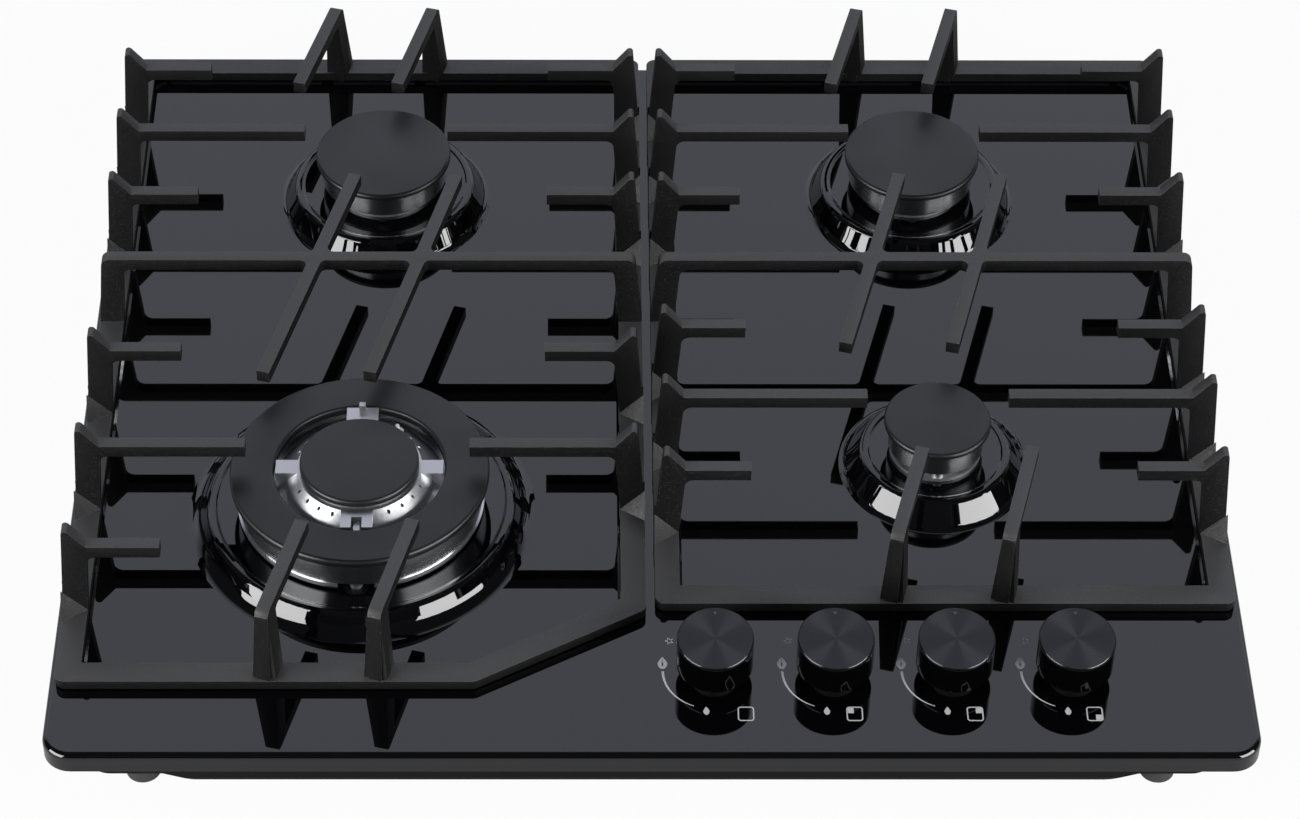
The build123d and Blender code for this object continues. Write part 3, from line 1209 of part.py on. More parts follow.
# ---------------------------------------------------------------- gas train
rail_length = rail_right_x - rail_left_x
rail_mid_x = (rail_left_x + rail_right_x) / 2
with BuildPart() as gas_rail:
    with BuildSketch(Plane.XY.offset(rail_tube_low)):
        with Locations((rail_mid_x, rail_mid_y)):
            Rectangle(rail_length, RAIL_TUBE_DEPTH)
    extrude(amount=RAIL_TUBE_HEIGHT)
    with BuildSketch(Plane.XY.offset(rail_tube_low + RAIL_TUBE_WALL)):
        with Locations((rail_mid_x, rail_mid_y)):
            Rectangle(rail_length - 2 * RAIL_TUBE_WALL, RAIL_TUBE_DEPTH - 2 * RAIL_TUBE_WALL)
    extrude(amount=RAIL_TUBE_HEIGHT - 2 * RAIL_TUBE_WALL, mode=Mode.SUBTRACT)
    with BuildSketch(Plane.YZ.offset(rail_right_x)):
        with Locations((rail_mid_y, pipe_z)):
            Circle(SUPPLY_R - PIPE_WALL)
    extrude(amount=-RAIL_TUBE_WALL, mode=Mode.SUBTRACT)
    with BuildSketch(Plane.XZ.offset(-valve_front)):
        with Locations(*[(x, pipe_z) for x in KNOB_XS]):
            Circle(PIPE_R)
    extrude(amount=RAIL_TUBE_WALL, mode=Mode.SUBTRACT)
    # two welded feet down to the box floor
    for foot_x_place in rail_feet_x:
        with BuildSketch(Plane.XY.offset(box_inside)):
            with Locations((foot_x_place, rail_front + RAIL_FOOT_SHEET / 2)):
                Rectangle(RAIL_FOOT_WIDTH, RAIL_FOOT_SHEET)
        extrude(amount=rail_tube_low - box_inside)
        with BuildSketch(Plane.XY.offset(box_inside)):
            with Locations((foot_x_place, rail_front + RAIL_FOOT_RUN / 2)):
                Rectangle(RAIL_FOOT_WIDTH, RAIL_FOOT_RUN)
        extrude(amount=RAIL_FOOT_SHEET)
    with BuildSketch(Plane.XY.offset(box_inside)):
        with Locations(*rail_screw_spots):
            Circle(SCREW_SHANK_R + SCREW_HOLE_FIT)
    extrude(amount=RAIL_FOOT_SHEET, mode=Mode.SUBTRACT)
save(gas_rail.part, "gas_rail")


def gas_pipe(name, radius, route):
    """Bent tube along a level route of straight runs joined by tangent arcs."""
    with BuildPart() as tube:
        with BuildLine() as path:
            FilletPolyline(*[(x, y, pipe_z) for x, y in route], radius=PIPE_BEND)
        with BuildSketch(Plane(origin=path.line @ 0, z_dir=path.line % 0)):
            Circle(radius)
            Circle(radius - PIPE_WALL, mode=Mode.SUBTRACT)
        sweep()
    save(tube.part, name)


outlet_y = valve_back + VALVE_OUTLET
wok_arm_x = WOK[0] + wok_arm_end
back_left_arm_x = BACK_LEFT[0] + CUP_R + ARM_BOSS_LENGTH
back_right_arm_y = BACK_RIGHT[1] - CUP_R - ARM_BOSS_LENGTH
front_right_arm_x = FRONT_RIGHT[0] + SMALL_CUP_R + ARM_BOSS_LENGTH
swerve_x = FRONT_RIGHT[0] - SWERVE_ASIDE
gas_pipe("wok_pipe", PIPE_R, [(KNOB_XS[0], outlet_y), (KNOB_XS[0], WOK[1]), (wok_arm_x, WOK[1])])
gas_pipe("back_left_pipe", PIPE_R, [
    (KNOB_XS[1], outlet_y), (KNOB_XS[1], PIPE_CROSS_Y), (PIPE_CROSS_X, BACK_LEFT[1]),
    (back_left_arm_x, BACK_LEFT[1]),
])
gas_pipe("back_right_pipe", PIPE_R, [
    (KNOB_XS[2], outlet_y), (KNOB_XS[2], FRONT_RIGHT[1] - SWERVE_START),
    (swerve_x, FRONT_RIGHT[1] - SWERVE_OUT),
    (swerve_x, back_row - SWERVE_BACK), (BACK_RIGHT[0], back_row - SWERVE_END),
    (BACK_RIGHT[0], back_right_arm_y),
])
gas_pipe("front_right_pipe", PIPE_R, [
    (KNOB_XS[3], outlet_y), (KNOB_XS[3], FRONT_RIGHT[1]), (front_right_arm_x, FRONT_RIGHT[1]),
])
inlet_hex_y = bay_front - BOX_SHEET - INLET_HEX
supply_x = box_length / 2 - SUPPLY_SET_IN
supply_turn_y = bay_front - SUPPLY_TURN
gas_pipe("supply_pipe", SUPPLY_R, [
    (rail_right_x, rail_mid_y), (supply_x, rail_mid_y), (supply_x, supply_turn_y),
    (bay_x, supply_turn_y), (bay_x, inlet_hex_y),
])

# inlet elbow: hexagon behind the bay's wall, neck through it, block in the bay, thread down
inlet_spot = (bay_x, bay_front + INLET_BLOCK / 2)
thread_top = pipe_z - INLET_BLOCK / 2
with BuildPart() as inlet:
    with BuildSketch(Plane.XZ.offset(-inlet_hex_y)):
        with Locations((bay_x, pipe_z)):
            RegularPolygon(INLET_HEX_R, 6)
    extrude(amount=-INLET_HEX)
    with BuildSketch(Plane.XZ.offset(-inlet_hex_y)):
        with Locations((bay_x, pipe_z)):
            Circle(INLET_NECK_R)
    extrude(amount=-INLET_HEX - BOX_SHEET)
    with BuildSketch(Plane.XY.offset(thread_top)):
        with Locations(inlet_spot):
            RectangleRounded(INLET_BLOCK, INLET_BLOCK, INLET_CHAMFER)
    extrude(amount=INLET_BLOCK)
    with BuildSketch(Plane.XY.offset(thread_top)):
        with Locations(inlet_spot):
            Circle(INLET_THREAD_R)
    extrude(amount=-INLET_LENGTH)
    chamfer(inlet.faces().sort_by(Axis.Z)[0].edges(), INLET_CHAMFER)
    with BuildSketch(Plane.XY.offset(thread_top - INLET_LENGTH)):
        with Locations(inlet_spot):
            Circle(SUPPLY_R - PIPE_WALL)
    extrude(amount=INLET_LENGTH + INLET_BLOCK / 2, mode=Mode.SUBTRACT)
    with BuildSketch(Plane.XZ.offset(-inlet_hex_y)):
        with Locations((bay_x, pipe_z)):
            Circle(SUPPLY_R - PIPE_WALL)
    extrude(amount=-INLET_HEX - BOX_SHEET - INLET_BLOCK / 2, mode=Mode.SUBTRACT)
save(inlet.part, "gas_inlet")

with BuildPart() as module:
    with BuildSketch(Plane.XY.offset(box_inside)):
        with Locations((module_x, MODULE_Y)):
            RectangleRounded(MODULE_WIDTH, MODULE_DEPTH, MODULE_CORNER_R)
    extrude(amount=MODULE_HEIGHT)
    fillet(module.faces().sort_by(Axis.Z)[-1].edges(), MODULE_CORNER_R / 2)
    with BuildSketch(Plane.XY.offset(box_inside)):
        with Locations((module_x, MODULE_Y)):
            Rectangle(MODULE_TAB_WIDTH, MODULE_DEPTH + 2 * MODULE_TAB)
    extrude(amount=FLANGE_THICKNESS)
    with BuildSketch(Plane.XY.offset(box_inside + MODULE_HEIGHT)):
        with Locations((module_x, MODULE_Y)):
            with GridLocations(0, MODULE_DEPTH / 5, 1, 4):
                Circle(MODULE_POST_R)
    extrude(amount=MODULE_POST_R)
    with BuildSketch(Plane.XY.offset(box_inside)):
        with Locations(*module_screw_spots):
            Circle(SCREW_SHANK_R + SCREW_HOLE_FIT)
    extrude(amount=FLANGE_THICKNESS, mode=Mode.SUBTRACT)
save(module.part, "ignition_module")

# ---------------------------------------------------------------- screws
floor_screws = [(spot, box_inside + FLANGE_THICKNESS) for spot in rail_screw_spots + module_screw_spots]
burner_screws = [(spot, over(PLATEAU_HEIGHT - PLATEAU_DISH) + FLANGE_THICKNESS) for spot in base_screw_spots]
wok_screws = [(spot, wok_seat + WOK_EAR) for spot in wok_screw_spots]
with BuildPart() as screws:
    for spot, seat in floor_screws + burner_screws + wok_screws:
        with BuildSketch(Plane.XY.offset(seat)):
            with Locations(spot):
                Circle(SCREW_HEAD_R)
        extrude(amount=SCREW_HEAD_HEIGHT)
        with BuildSketch(Plane.XY.offset(seat)):
            with Locations(spot):
                Circle(SCREW_SHANK_R)
        extrude(amount=-SCREW_LENGTH)
        with BuildSketch(Plane.XY.offset(seat + SCREW_HEAD_HEIGHT)):
            with Locations(spot):
                Rectangle(SCREW_HEAD_R, SCREW_CROSS)
                Rectangle(SCREW_CROSS, SCREW_HEAD_R)
        extrude(amount=-SCREW_HEAD_HEIGHT / 2, mode=Mode.SUBTRACT)
save(screws.part, "fixing_screws")
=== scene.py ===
import logging
import math
from dataclasses import dataclass, field
from enum import Enum

import bmesh
import bpy
from mathutils import Matrix, Vector


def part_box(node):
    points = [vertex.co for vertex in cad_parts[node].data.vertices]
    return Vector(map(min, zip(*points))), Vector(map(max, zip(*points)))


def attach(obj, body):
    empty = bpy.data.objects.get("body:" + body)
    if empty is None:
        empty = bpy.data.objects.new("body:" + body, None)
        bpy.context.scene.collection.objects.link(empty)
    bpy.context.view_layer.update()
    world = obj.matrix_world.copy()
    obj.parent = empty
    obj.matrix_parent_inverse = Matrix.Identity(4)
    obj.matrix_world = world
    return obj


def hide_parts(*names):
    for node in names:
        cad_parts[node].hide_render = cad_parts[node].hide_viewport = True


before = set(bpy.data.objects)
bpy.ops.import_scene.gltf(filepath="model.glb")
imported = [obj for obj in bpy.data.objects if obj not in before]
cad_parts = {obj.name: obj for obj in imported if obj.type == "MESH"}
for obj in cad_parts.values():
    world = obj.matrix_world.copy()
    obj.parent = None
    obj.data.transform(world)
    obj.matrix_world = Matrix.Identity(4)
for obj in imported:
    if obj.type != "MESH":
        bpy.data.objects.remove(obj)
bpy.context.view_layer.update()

MM = 0.001
QUARTER_TURN = 0.25
WHITE = (1.0, 1.0, 1.0)
SIDES = ("left", "right")
SINGLE_BURNERS = ("back_left", "back_right", "front_right")
KNOBS = range(1, 5)
# most of a noise's values lie in this range
NOISE_SPREAD = (0.35, 0.65)
# places of the Mix node's colour sockets, whose names it uses more than once
MIX_COLOURS = (6, 7)
MIX_RESULT = 2
LOG = logging.getLogger("cooktop")

Colour = tuple[float, float, float]
Range = tuple[float, float]
Feed = bpy.types.NodeSocket | float | Colour
Verts = list[bmesh.types.BMVert]


# ---------------------------------------------------------------- shading graph
class Detail(Enum):
    """How many finer layers a noise has."""

    SOFT = 1.0
    PLAIN = 2.0
    FINE = 3.0


@dataclass
class Graph:
    """Node tree of one material, with short calls for the nodes that the finishes share."""

    tree: bpy.types.NodeTree

    def add(self, kind: str, **settings: object) -> bpy.types.Node:
        """Add a node and set its properties.

        Args:
            kind: Blender's name of the node type, without its ShaderNode prefix.
            settings: property names and their values.

        Returns:
            The new node.
        """
        node = self.tree.nodes.new(f"ShaderNode{kind}")
        for name, value in settings.items():
            setattr(node, name, value)
        return node

    def join(self, source: Feed, socket: bpy.types.NodeSocket) -> None:
        """Link a socket into another one, or set the other one's number or vector.

        Args:
            source: the socket, number or vector to take.
            socket: the socket that takes it.
        """
        if isinstance(source, bpy.types.NodeSocket):
            self.tree.links.new(source, socket)
        else:
            socket.default_value = source

    def place(self) -> bpy.types.NodeSocket:
        """Object coordinates of the shaded point, in metres."""
        return self.add("TexCoord").outputs["Object"]

    def math(self, operation: str, first: Feed, second: Feed) -> bpy.types.NodeSocket:
        """One arithmetic step.

        Args:
            operation: Blender's name of the step.
            first: its first number.
            second: its second number.

        Returns:
            The result's socket.
        """
        node = self.add("Math", operation=operation)
        self.join(first, node.inputs[0])
        self.join(second, node.inputs[1])
        return node.outputs[0]

    def vector_math(self, operation: str, first: Feed, second: Feed = (0.0, 0.0, 0.0)) -> bpy.types.Node:
        """One vector step.

        Args:
            operation: Blender's name of the step.
            first: its first vector.
            second: its second vector, which some steps ignore.

        Returns:
            The node, because a step gives a vector or a number.
        """
        node = self.add("VectorMath", operation=operation)
        self.join(first, node.inputs[0])
        self.join(second, node.inputs[1])
        return node

    def noise(self, place: Feed, size: float, detail: Detail = Detail.PLAIN) -> bpy.types.NodeSocket:
        """Noise whose grains are about one size across.

        Args:
            place: coordinates to read.
            size: grain size in metres.
            detail: how many finer layers the noise has.

        Returns:
            The noise's value, around one half.
        """
        node = self.add("TexNoise")
        self.join(place, node.inputs["Vector"])
        node.inputs["Scale"].default_value = 1.0 / size
        node.inputs["Detail"].default_value = detail.value
        return node.outputs["Fac"]

    def remap(self, value: Feed, given: Range, wanted: Range) -> bpy.types.NodeSocket:
        """A value's range moved to another range, held at its ends.

        Args:
            value: the value to move.
            given: the range that it has.
            wanted: the range that it gets.

        Returns:
            The moved value's socket.
        """
        node = self.add("MapRange")
        self.join(value, node.inputs["Value"])
        for name, number in zip(("From Min", "From Max", "To Min", "To Max"), (*given, *wanted)):
            node.inputs[name].default_value = number
        return node.outputs["Result"]

    def blend(self, share: Feed, first: Colour, second: Colour) -> bpy.types.NodeSocket:
        """A colour between two colours.

        Args:
            share: the second colour's share.
            first: the colour at a share of 0.
            second: the colour at a share of 1.

        Returns:
            The colour's socket.
        """
        node = self.add("Mix", data_type="RGBA")
        self.join(share, node.inputs["Factor"])
        for place, colour in zip(MIX_COLOURS, (first, second)):
            node.inputs[place].default_value = (*colour, 1.0)
        return node.outputs[MIX_RESULT]

    def bump(
        self, height: Feed, depth: float, strength: float = 1.0, below: bpy.types.NodeSocket | None = None,
    ) -> bpy.types.NodeSocket:
        """Surface relief from a height.

        Args:
            height: the height's socket, from 0 to 1.
            depth: relief in metres between 0 and 1.
            strength: how much of the relief shows.
            below: the normal of a bump under this one, or None.

        Returns:
            The normal's socket.
        """
        node = self.add("Bump")
        node.inputs["Strength"].default_value = strength
        node.inputs["Distance"].default_value = depth
        self.join(height, node.inputs["Height"])
        if below is not None:
            self.join(below, node.inputs["Normal"])
        return node.outputs["Normal"]


def new_material(name: str) -> tuple[bpy.types.Material, Graph, bpy.types.Node]:
    """Make a material.

    Args:
        name: the material's name.

    Returns:
        The material, its graph and its Principled shader.
    """
    material = bpy.data.materials.new(name)
    material.use_nodes = True
    shader = material.node_tree.nodes["Principled BSDF"]
    return material, Graph(material.node_tree), shader


# ---------------------------------------------------------------- finishes
class Finish:
    """What one surface is made of and how it is finished."""

    name: str

    def dress(self, graph: Graph, shader: bpy.types.Node) -> None:
        """Wire the finish into a shader."""
        raise NotImplementedError

    def material(self) -> bpy.types.Material:
        """Make the finish's material once, and reuse it after that.

        Returns:
            The material.
        """
        known = bpy.data.materials.get(self.name)
        if known:
            return known
        material, graph, shader = new_material(self.name)
        self.dress(graph, shader)
        return material


@dataclass(frozen=True)
class GlossyEnamel(Finish):
    """Fused black enamel on pressed sheet, nearly a mirror."""

    name: str = "panel_enamel"
    colour: Colour = (0.0006, 0.0006, 0.0009)
    cloud: Colour = (0.0010, 0.0010, 0.0014)
    roughness: Range = (0.018, 0.035)
    ior: float = 1.56
    cloud_size: float = 0.09
    ripple_size: float = 0.035
    ripple_depth: float = 0.000004

    def dress(self, graph: Graph, shader: bpy.types.Node) -> None:
        """Wire clouds of tone and gloss and a faint ripple.

        Args:
            graph: the material's graph.
            shader: its Principled shader.
        """
        place = graph.place()
        cloud = graph.noise(place, self.cloud_size, Detail.FINE)
        graph.join(graph.blend(cloud, self.colour, self.cloud), shader.inputs["Base Color"])
        graph.join(graph.remap(cloud, NOISE_SPREAD, self.roughness), shader.inputs["Roughness"])
        shader.inputs["IOR"].default_value = self.ior
        ripple = graph.noise(place, self.ripple_size, Detail.SOFT)
        graph.join(graph.bump(ripple, self.ripple_depth), shader.inputs["Normal"])


@dataclass(frozen=True)
class MatteEnamel(Finish):
    """Fine-grained matte enamel of the burner caps."""

    name: str = "matte_cap_enamel"
    colour: Colour = (0.0022, 0.0022, 0.0028)
    worn: Colour = (0.0038, 0.0039, 0.0046)
    roughness: Range = (0.36, 0.44)
    sheen: float = 0.5
    grain_size: float = 0.0005
    grain_depth: float = 0.00002
    cloud_size: float = 0.03

    def dress(self, graph: Graph, shader: bpy.types.Node) -> None:
        """Wire clouds of tone and gloss and a fine grain.

        Args:
            graph: the material's graph.
            shader: its Principled shader.
        """
        place = graph.place()
        cloud = graph.noise(place, self.cloud_size, Detail.FINE)
        graph.join(graph.blend(cloud, self.colour, self.worn), shader.inputs["Base Color"])
        graph.join(graph.remap(cloud, NOISE_SPREAD, self.roughness), shader.inputs["Roughness"])
        shader.inputs["Specular IOR Level"].default_value = self.sheen
        grain = graph.noise(place, self.grain_size)
        graph.join(graph.bump(grain, self.grain_depth), shader.inputs["Normal"])


@dataclass(frozen=True)
class CastIron(Finish):
    """Enamelled cast iron: a dull skin with a sandy grain and paler worn specks, with upward faces painted
    paler and glossier as a painted highlight on lit tops.
    """

    name: str = "sandy_cast_iron"
    colour: Colour = (0.0026, 0.0024, 0.0024)
    # colour of the worn specks and also of the painted highlight on upward faces
    rubbed_and_lit: Colour = (0.026, 0.026, 0.0275)
    rub_range: Range = (0.60, 0.74)
    rub_share: float = 0.5
    # painted highlight: faces whose normal points up within this range turn paler, up to this share
    lit_top_range: Range = (0.30, 0.95)
    lit_top_share: float = 0.80
    roughness: Range = (0.52, 0.66)
    # specular level from the shaded sides to the painted-lit tops
    sheen: Range = (0.16, 0.80)
    grain_size: float = 0.0010
    grain_depth: float = 0.00010
    skin_size: float = 0.006
    skin_depth: float = 0.00022
    skin_strength: float = 0.6
    speck_size: float = 0.0007

    def dress(self, graph: Graph, shader: bpy.types.Node) -> None:
        """Wire the sandy skin, its worn specks, and the painted highlight that makes upward faces paler and
        glossier.

        Args:
            graph: the material's graph.
            shader: its Principled shader.
        """
        place = graph.place()
        grain = graph.noise(place, self.grain_size, Detail.FINE)
        skin = graph.noise(place, self.skin_size, Detail.FINE)
        specks = graph.noise(place, self.speck_size, Detail.SOFT)
        rub = graph.remap(specks, self.rub_range, (0.0, self.rub_share))
        # painted light: upward faces are made paler and glossier as tops in the light, and sides stay dark as
        # if in shade
        facing = graph.add("SeparateXYZ")
        graph.join(graph.add("TexCoord").outputs["Normal"], facing.inputs["Vector"])
        lit_top = graph.remap(facing.outputs["Z"], self.lit_top_range, (0.0, self.lit_top_share))
        pale_and_lit = graph.math("MAXIMUM", rub, lit_top)
        graph.join(graph.blend(pale_and_lit, self.colour, self.rubbed_and_lit), shader.inputs["Base Color"])
        graph.join(graph.remap(grain, NOISE_SPREAD, self.roughness), shader.inputs["Roughness"])
        # the same painted-light mask raises the specular level on tops
        sheen = graph.remap(lit_top, (0.0, self.lit_top_share), self.sheen)
        graph.join(sheen, shader.inputs["Specular IOR Level"])
        coarse = graph.bump(skin, self.skin_depth, self.skin_strength)
        graph.join(graph.bump(grain, self.grain_depth, below=coarse), shader.inputs["Normal"])


@dataclass(frozen=True)
class TurnedMetal(Finish):
    """Metal turned about an upright or slightly tilted axis, with fine rings round it."""

    name: str
    centre: tuple[float, float, float]
    axis: tuple[float, float, float] = (0.0, 0.0, 1.0)
    colour: Colour = (0.60, 0.61, 0.63)
    shade: Colour = (0.42, 0.43, 0.45)
    roughness: float = 0.24
    anisotropy: float = 0.75
    ring_size: float = 0.00035
    ring_depth: float = 0.000006

    def dress(self, graph: Graph, shader: bpy.types.Node) -> None:
        """Wire rings round the axis, and a gloss drawn out along them.

        Args:
            graph: the material's graph.
            shader: its Principled shader.
        """
        place = graph.place()
        arm = graph.vector_math("SUBTRACT", place, self.centre).outputs["Vector"]
        along = graph.vector_math("CROSS_PRODUCT", self.axis, arm).outputs["Vector"]
        tangent = graph.vector_math("NORMALIZE", along).outputs["Vector"]
        height = graph.vector_math("DOT_PRODUCT", arm, self.axis).outputs["Value"]
        radius = graph.vector_math("LENGTH", along).outputs["Value"]
        rings = graph.add("CombineXYZ")
        graph.join(radius, rings.inputs["X"])
        graph.join(height, rings.inputs["Y"])
        lines = graph.noise(rings.outputs["Vector"], self.ring_size, Detail.FINE)
        graph.join(graph.blend(lines, self.shade, self.colour), shader.inputs["Base Color"])
        graph.join(graph.bump(lines, self.ring_depth), shader.inputs["Normal"])
        graph.join(tangent, shader.inputs["Tangent"])
        shader.inputs["Metallic"].default_value = 1.0
        shader.inputs["Roughness"].default_value = self.roughness
        shader.inputs["Anisotropic"].default_value = self.anisotropy
        shader.inputs["Anisotropic Rotation"].default_value = QUARTER_TURN


@dataclass(frozen=True)
class CastMetal(Finish):
    """Die-cast aluminium with a fine frosty grain."""

    name: str
    colour: Colour = (0.66, 0.665, 0.68)
    shade: Colour = (0.48, 0.485, 0.50)
    roughness: Range = (0.30, 0.46)
    grain_size: float = 0.0006
    grain_depth: float = 0.00004

    def dress(self, graph: Graph, shader: bpy.types.Node) -> None:
        """Wire a frosty grain in tone, gloss and relief.

        Args:
            graph: the material's graph.
            shader: its Principled shader.
        """
        place = graph.place()
        grain = graph.noise(place, self.grain_size, Detail.FINE)
        graph.join(graph.blend(grain, self.shade, self.colour), shader.inputs["Base Color"])
        graph.join(graph.remap(grain, NOISE_SPREAD, self.roughness), shader.inputs["Roughness"])
        graph.join(graph.bump(grain, self.grain_depth), shader.inputs["Normal"])
        shader.inputs["Metallic"].default_value = 1.0


@dataclass(frozen=True)
class SheetSteel(Finish):
    """Galvanised sheet with soft spangle."""

    name: str = "galvanised_sheet"
    colour: Colour = (0.50, 0.51, 0.53)
    shade: Colour = (0.38, 0.39, 0.41)
    roughness: Range = (0.34, 0.5)
    spangle_size: float = 0.006

    def dress(self, graph: Graph, shader: bpy.types.Node) -> None:
        """Wire the spangle's tones and gloss.

        Args:
            graph: the material's graph.
            shader: its Principled shader.
        """
        spangle = graph.add("TexVoronoi")
        graph.join(graph.place(), spangle.inputs["Vector"])
        spangle.inputs["Scale"].default_value = 1.0 / self.spangle_size
        tone = graph.add("SeparateColor")
        graph.join(spangle.outputs["Color"], tone.inputs["Color"])
        graph.join(graph.blend(tone.outputs["Red"], self.shade, self.colour), shader.inputs["Base Color"])
        rough = graph.remap(tone.outputs["Green"], (0.0, 1.0), self.roughness)
        graph.join(rough, shader.inputs["Roughness"])
        shader.inputs["Metallic"].default_value = 1.0


@dataclass(frozen=True)
class Moulding(Finish):
    """Moulded plastic, rubber or ceramic: one colour with a fine grain."""

    name: str
    colour: Colour
    tint: Colour
    roughness: Range
    grain_size: float = 0.0008
    grain_depth: float = 0.00001
    grains_per_cloud: int = 20

    def dress(self, graph: Graph, shader: bpy.types.Node) -> None:
        """Wire clouds of tone and gloss and a fine grain.

        Args:
            graph: the material's graph.
            shader: its Principled shader.
        """
        place = graph.place()
        cloud = graph.noise(place, self.grains_per_cloud * self.grain_size)
        graph.join(graph.blend(cloud, self.colour, self.tint), shader.inputs["Base Color"])
        graph.join(graph.remap(cloud, NOISE_SPREAD, self.roughness), shader.inputs["Roughness"])
        grain = graph.noise(place, self.grain_size)
        graph.join(graph.bump(grain, self.grain_depth), shader.inputs["Normal"])


ENAMEL = GlossyEnamel()
CAP_ENAMEL = MatteEnamel()
IRON = CastIron()
# Iron on the rounded edges: paler specks that are partly worn metal and partly a painted edge highlight; its
# upward faces get the same painted highlight as the plain iron.
WORN_HIGHLIT_IRON = CastIron(
    "cast_iron_worn_highlit_edge", rubbed_and_lit=(0.24, 0.24, 0.245), rub_range=(0.50, 0.62), rub_share=0.8,
    roughness=(0.45, 0.6),
)
# Near-black, low-gloss paint on the underbox, whose sheet is galvanised: painted shade standing in for the
# dark strip under the panel's apron. The wok burner's base wears it too.
DARK_SHADE_PAINT = MatteEnamel(
    "box_painted_shade", colour=(0.0015, 0.0015, 0.0017), worn=(0.0025, 0.0025, 0.0028), roughness=(0.3, 0.4),
    sheen=0.15,
)
GALVANISED = SheetSteel()
CROWN_CASTING = CastMetal("crown_casting", (0.56, 0.565, 0.58), (0.40, 0.405, 0.42), (0.30, 0.42))
BODY_CASTING = CastMetal("body_casting")
BRASS = CastMetal("turned_brass", colour=(0.70, 0.52, 0.24), shade=(0.55, 0.40, 0.17), roughness=(0.22, 0.35))
DRAWN_TUBE = CastMetal("drawn_tube", colour=(0.70, 0.71, 0.73), shade=(0.58, 0.59, 0.61))
KNOB_GLOSS = Moulding("knob_gloss", (0.0004, 0.0004, 0.0005), (0.0007, 0.0007, 0.0008), (0.05, 0.09))
RUBBER = Moulding(
    "soft_rubber", (0.016, 0.016, 0.017), (0.024, 0.024, 0.025), (0.6, 0.75), grain_depth=0.00003,
)
CERAMIC = Moulding("glazed_ceramic", (0.78, 0.77, 0.73), (0.70, 0.69, 0.64), (0.15, 0.25))
MODULE = Moulding("module_case", (0.72, 0.72, 0.70), (0.66, 0.66, 0.64), (0.42, 0.55))
PRINT = Moulding(
    "sign_print", (0.42, 0.42, 0.44), (0.36, 0.36, 0.38), (0.35, 0.45), grain_depth=0.000002,
)
DOT_PRINT = Moulding(
    "dot_print", (0.050, 0.050, 0.053), (0.040, 0.040, 0.043), (0.4, 0.5), grain_depth=0.000002,
)


def dress(node: str, finish: Finish) -> None:
    """Give a CAD node a finish.

    Args:
        node: the node's name.
        finish: what it is made of.
    """
    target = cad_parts[node]
    target.data.materials.clear()
    target.data.materials.append(finish.material())
    LOG.info("%s: %s", node, finish.name)


def middle(node: str) -> Vector:
    """Middle of a CAD node's box."""
    low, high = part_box(node)
    return (low + high) / 2


def finished_piece(name: str, mesh: bmesh.types.BMesh, finish: Finish, body: str) -> bpy.types.Object:
    """Turn a bmesh into a piece that rides on a body.

    Args:
        name: the piece's name.
        mesh: its mesh, in place, which is used up.
        finish: its finish.
        body: the CAD body that it moves with.

    Returns:
        The new object.
    """
    data = bpy.data.meshes.new(name)
    mesh.to_mesh(data)
    mesh.free()
    data.materials.append(finish.material())
    piece = bpy.data.objects.new(name, data)
    bpy.context.scene.collection.objects.link(piece)
    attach(piece, body)
    LOG.info("%s: new piece on %s", name, body)
    return piece


# ---------------------------------------------------------------- sub-assemblies
@dataclass
class Casing:
    """Enamelled panel, box, seal, feet and their screws."""

    def build(self) -> None:
        """Dress the casing's nodes."""
        dress("top_panel", ENAMEL)
        # painted shade: the underbox is dressed near-black for the shade under the apron
        dress("underbox", DARK_SHADE_PAINT)
        dress("fixing_screws", CROWN_CASTING)
        dress("rubber_feet", RUBBER)
        dress("worktop_seal", RUBBER)


@dataclass
class PanSupport:
    """One cast support, its edges rounded as a casting's are."""

    side: str
    edge_round: float = 0.7 * MM
    edge_steps: int = 2
    edge_angle: float = 30.0
    flat_angle: float = 0.5
    weld: float = 0.01 * MM

    def build(self) -> None:
        """Make the rounded casting and dress its pads."""
        node = f"pan_support_{self.side}"
        mesh = bmesh.new()
        mesh.from_mesh(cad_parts[node].data)
        bmesh.ops.remove_doubles(mesh, verts=mesh.verts, dist=self.weld)
        flat = math.radians(self.flat_angle)
        bmesh.ops.dissolve_limit(mesh, angle_limit=flat, verts=mesh.verts, edges=mesh.edges)
        for face in mesh.faces:
            face.smooth = True
        piece = finished_piece(f"cast_support_{self.side}", mesh, IRON, f"{self.side}_support")
        bevel = piece.modifiers.new("casting_round", "BEVEL")
        bevel.width = self.edge_round
        bevel.segments = self.edge_steps
        bevel.limit_method = "ANGLE"
        bevel.angle_limit = math.radians(self.edge_angle)
        bevel.harden_normals = True
        # the rounded edges take the worn iron with its painted edge highlight
        piece.data.materials.append(WORN_HIGHLIT_IRON.material())
        bevel.material = len(piece.data.materials) - 1
        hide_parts(node)
        dress(f"support_pads_{self.side}", RUBBER)


@dataclass
class SingleBurner:
    """Base, jet, head, cap and electrode of a one-crown burner."""

    name: str

    def build(self) -> None:
        """Dress the burner's nodes."""
        centre = middle(f"{self.name}_burner_cap")
        turned = TurnedMetal(f"{self.name}_turned", (centre.x, centre.y, 0.0))
        dress(f"{self.name}_burner_base", BODY_CASTING)
        dress(f"{self.name}_injector", BRASS)
        dress(f"{self.name}_burner_head", turned)
        dress(f"{self.name}_burner_cap", CAP_ENAMEL)
        dress(f"{self.name}_electrode", CERAMIC)


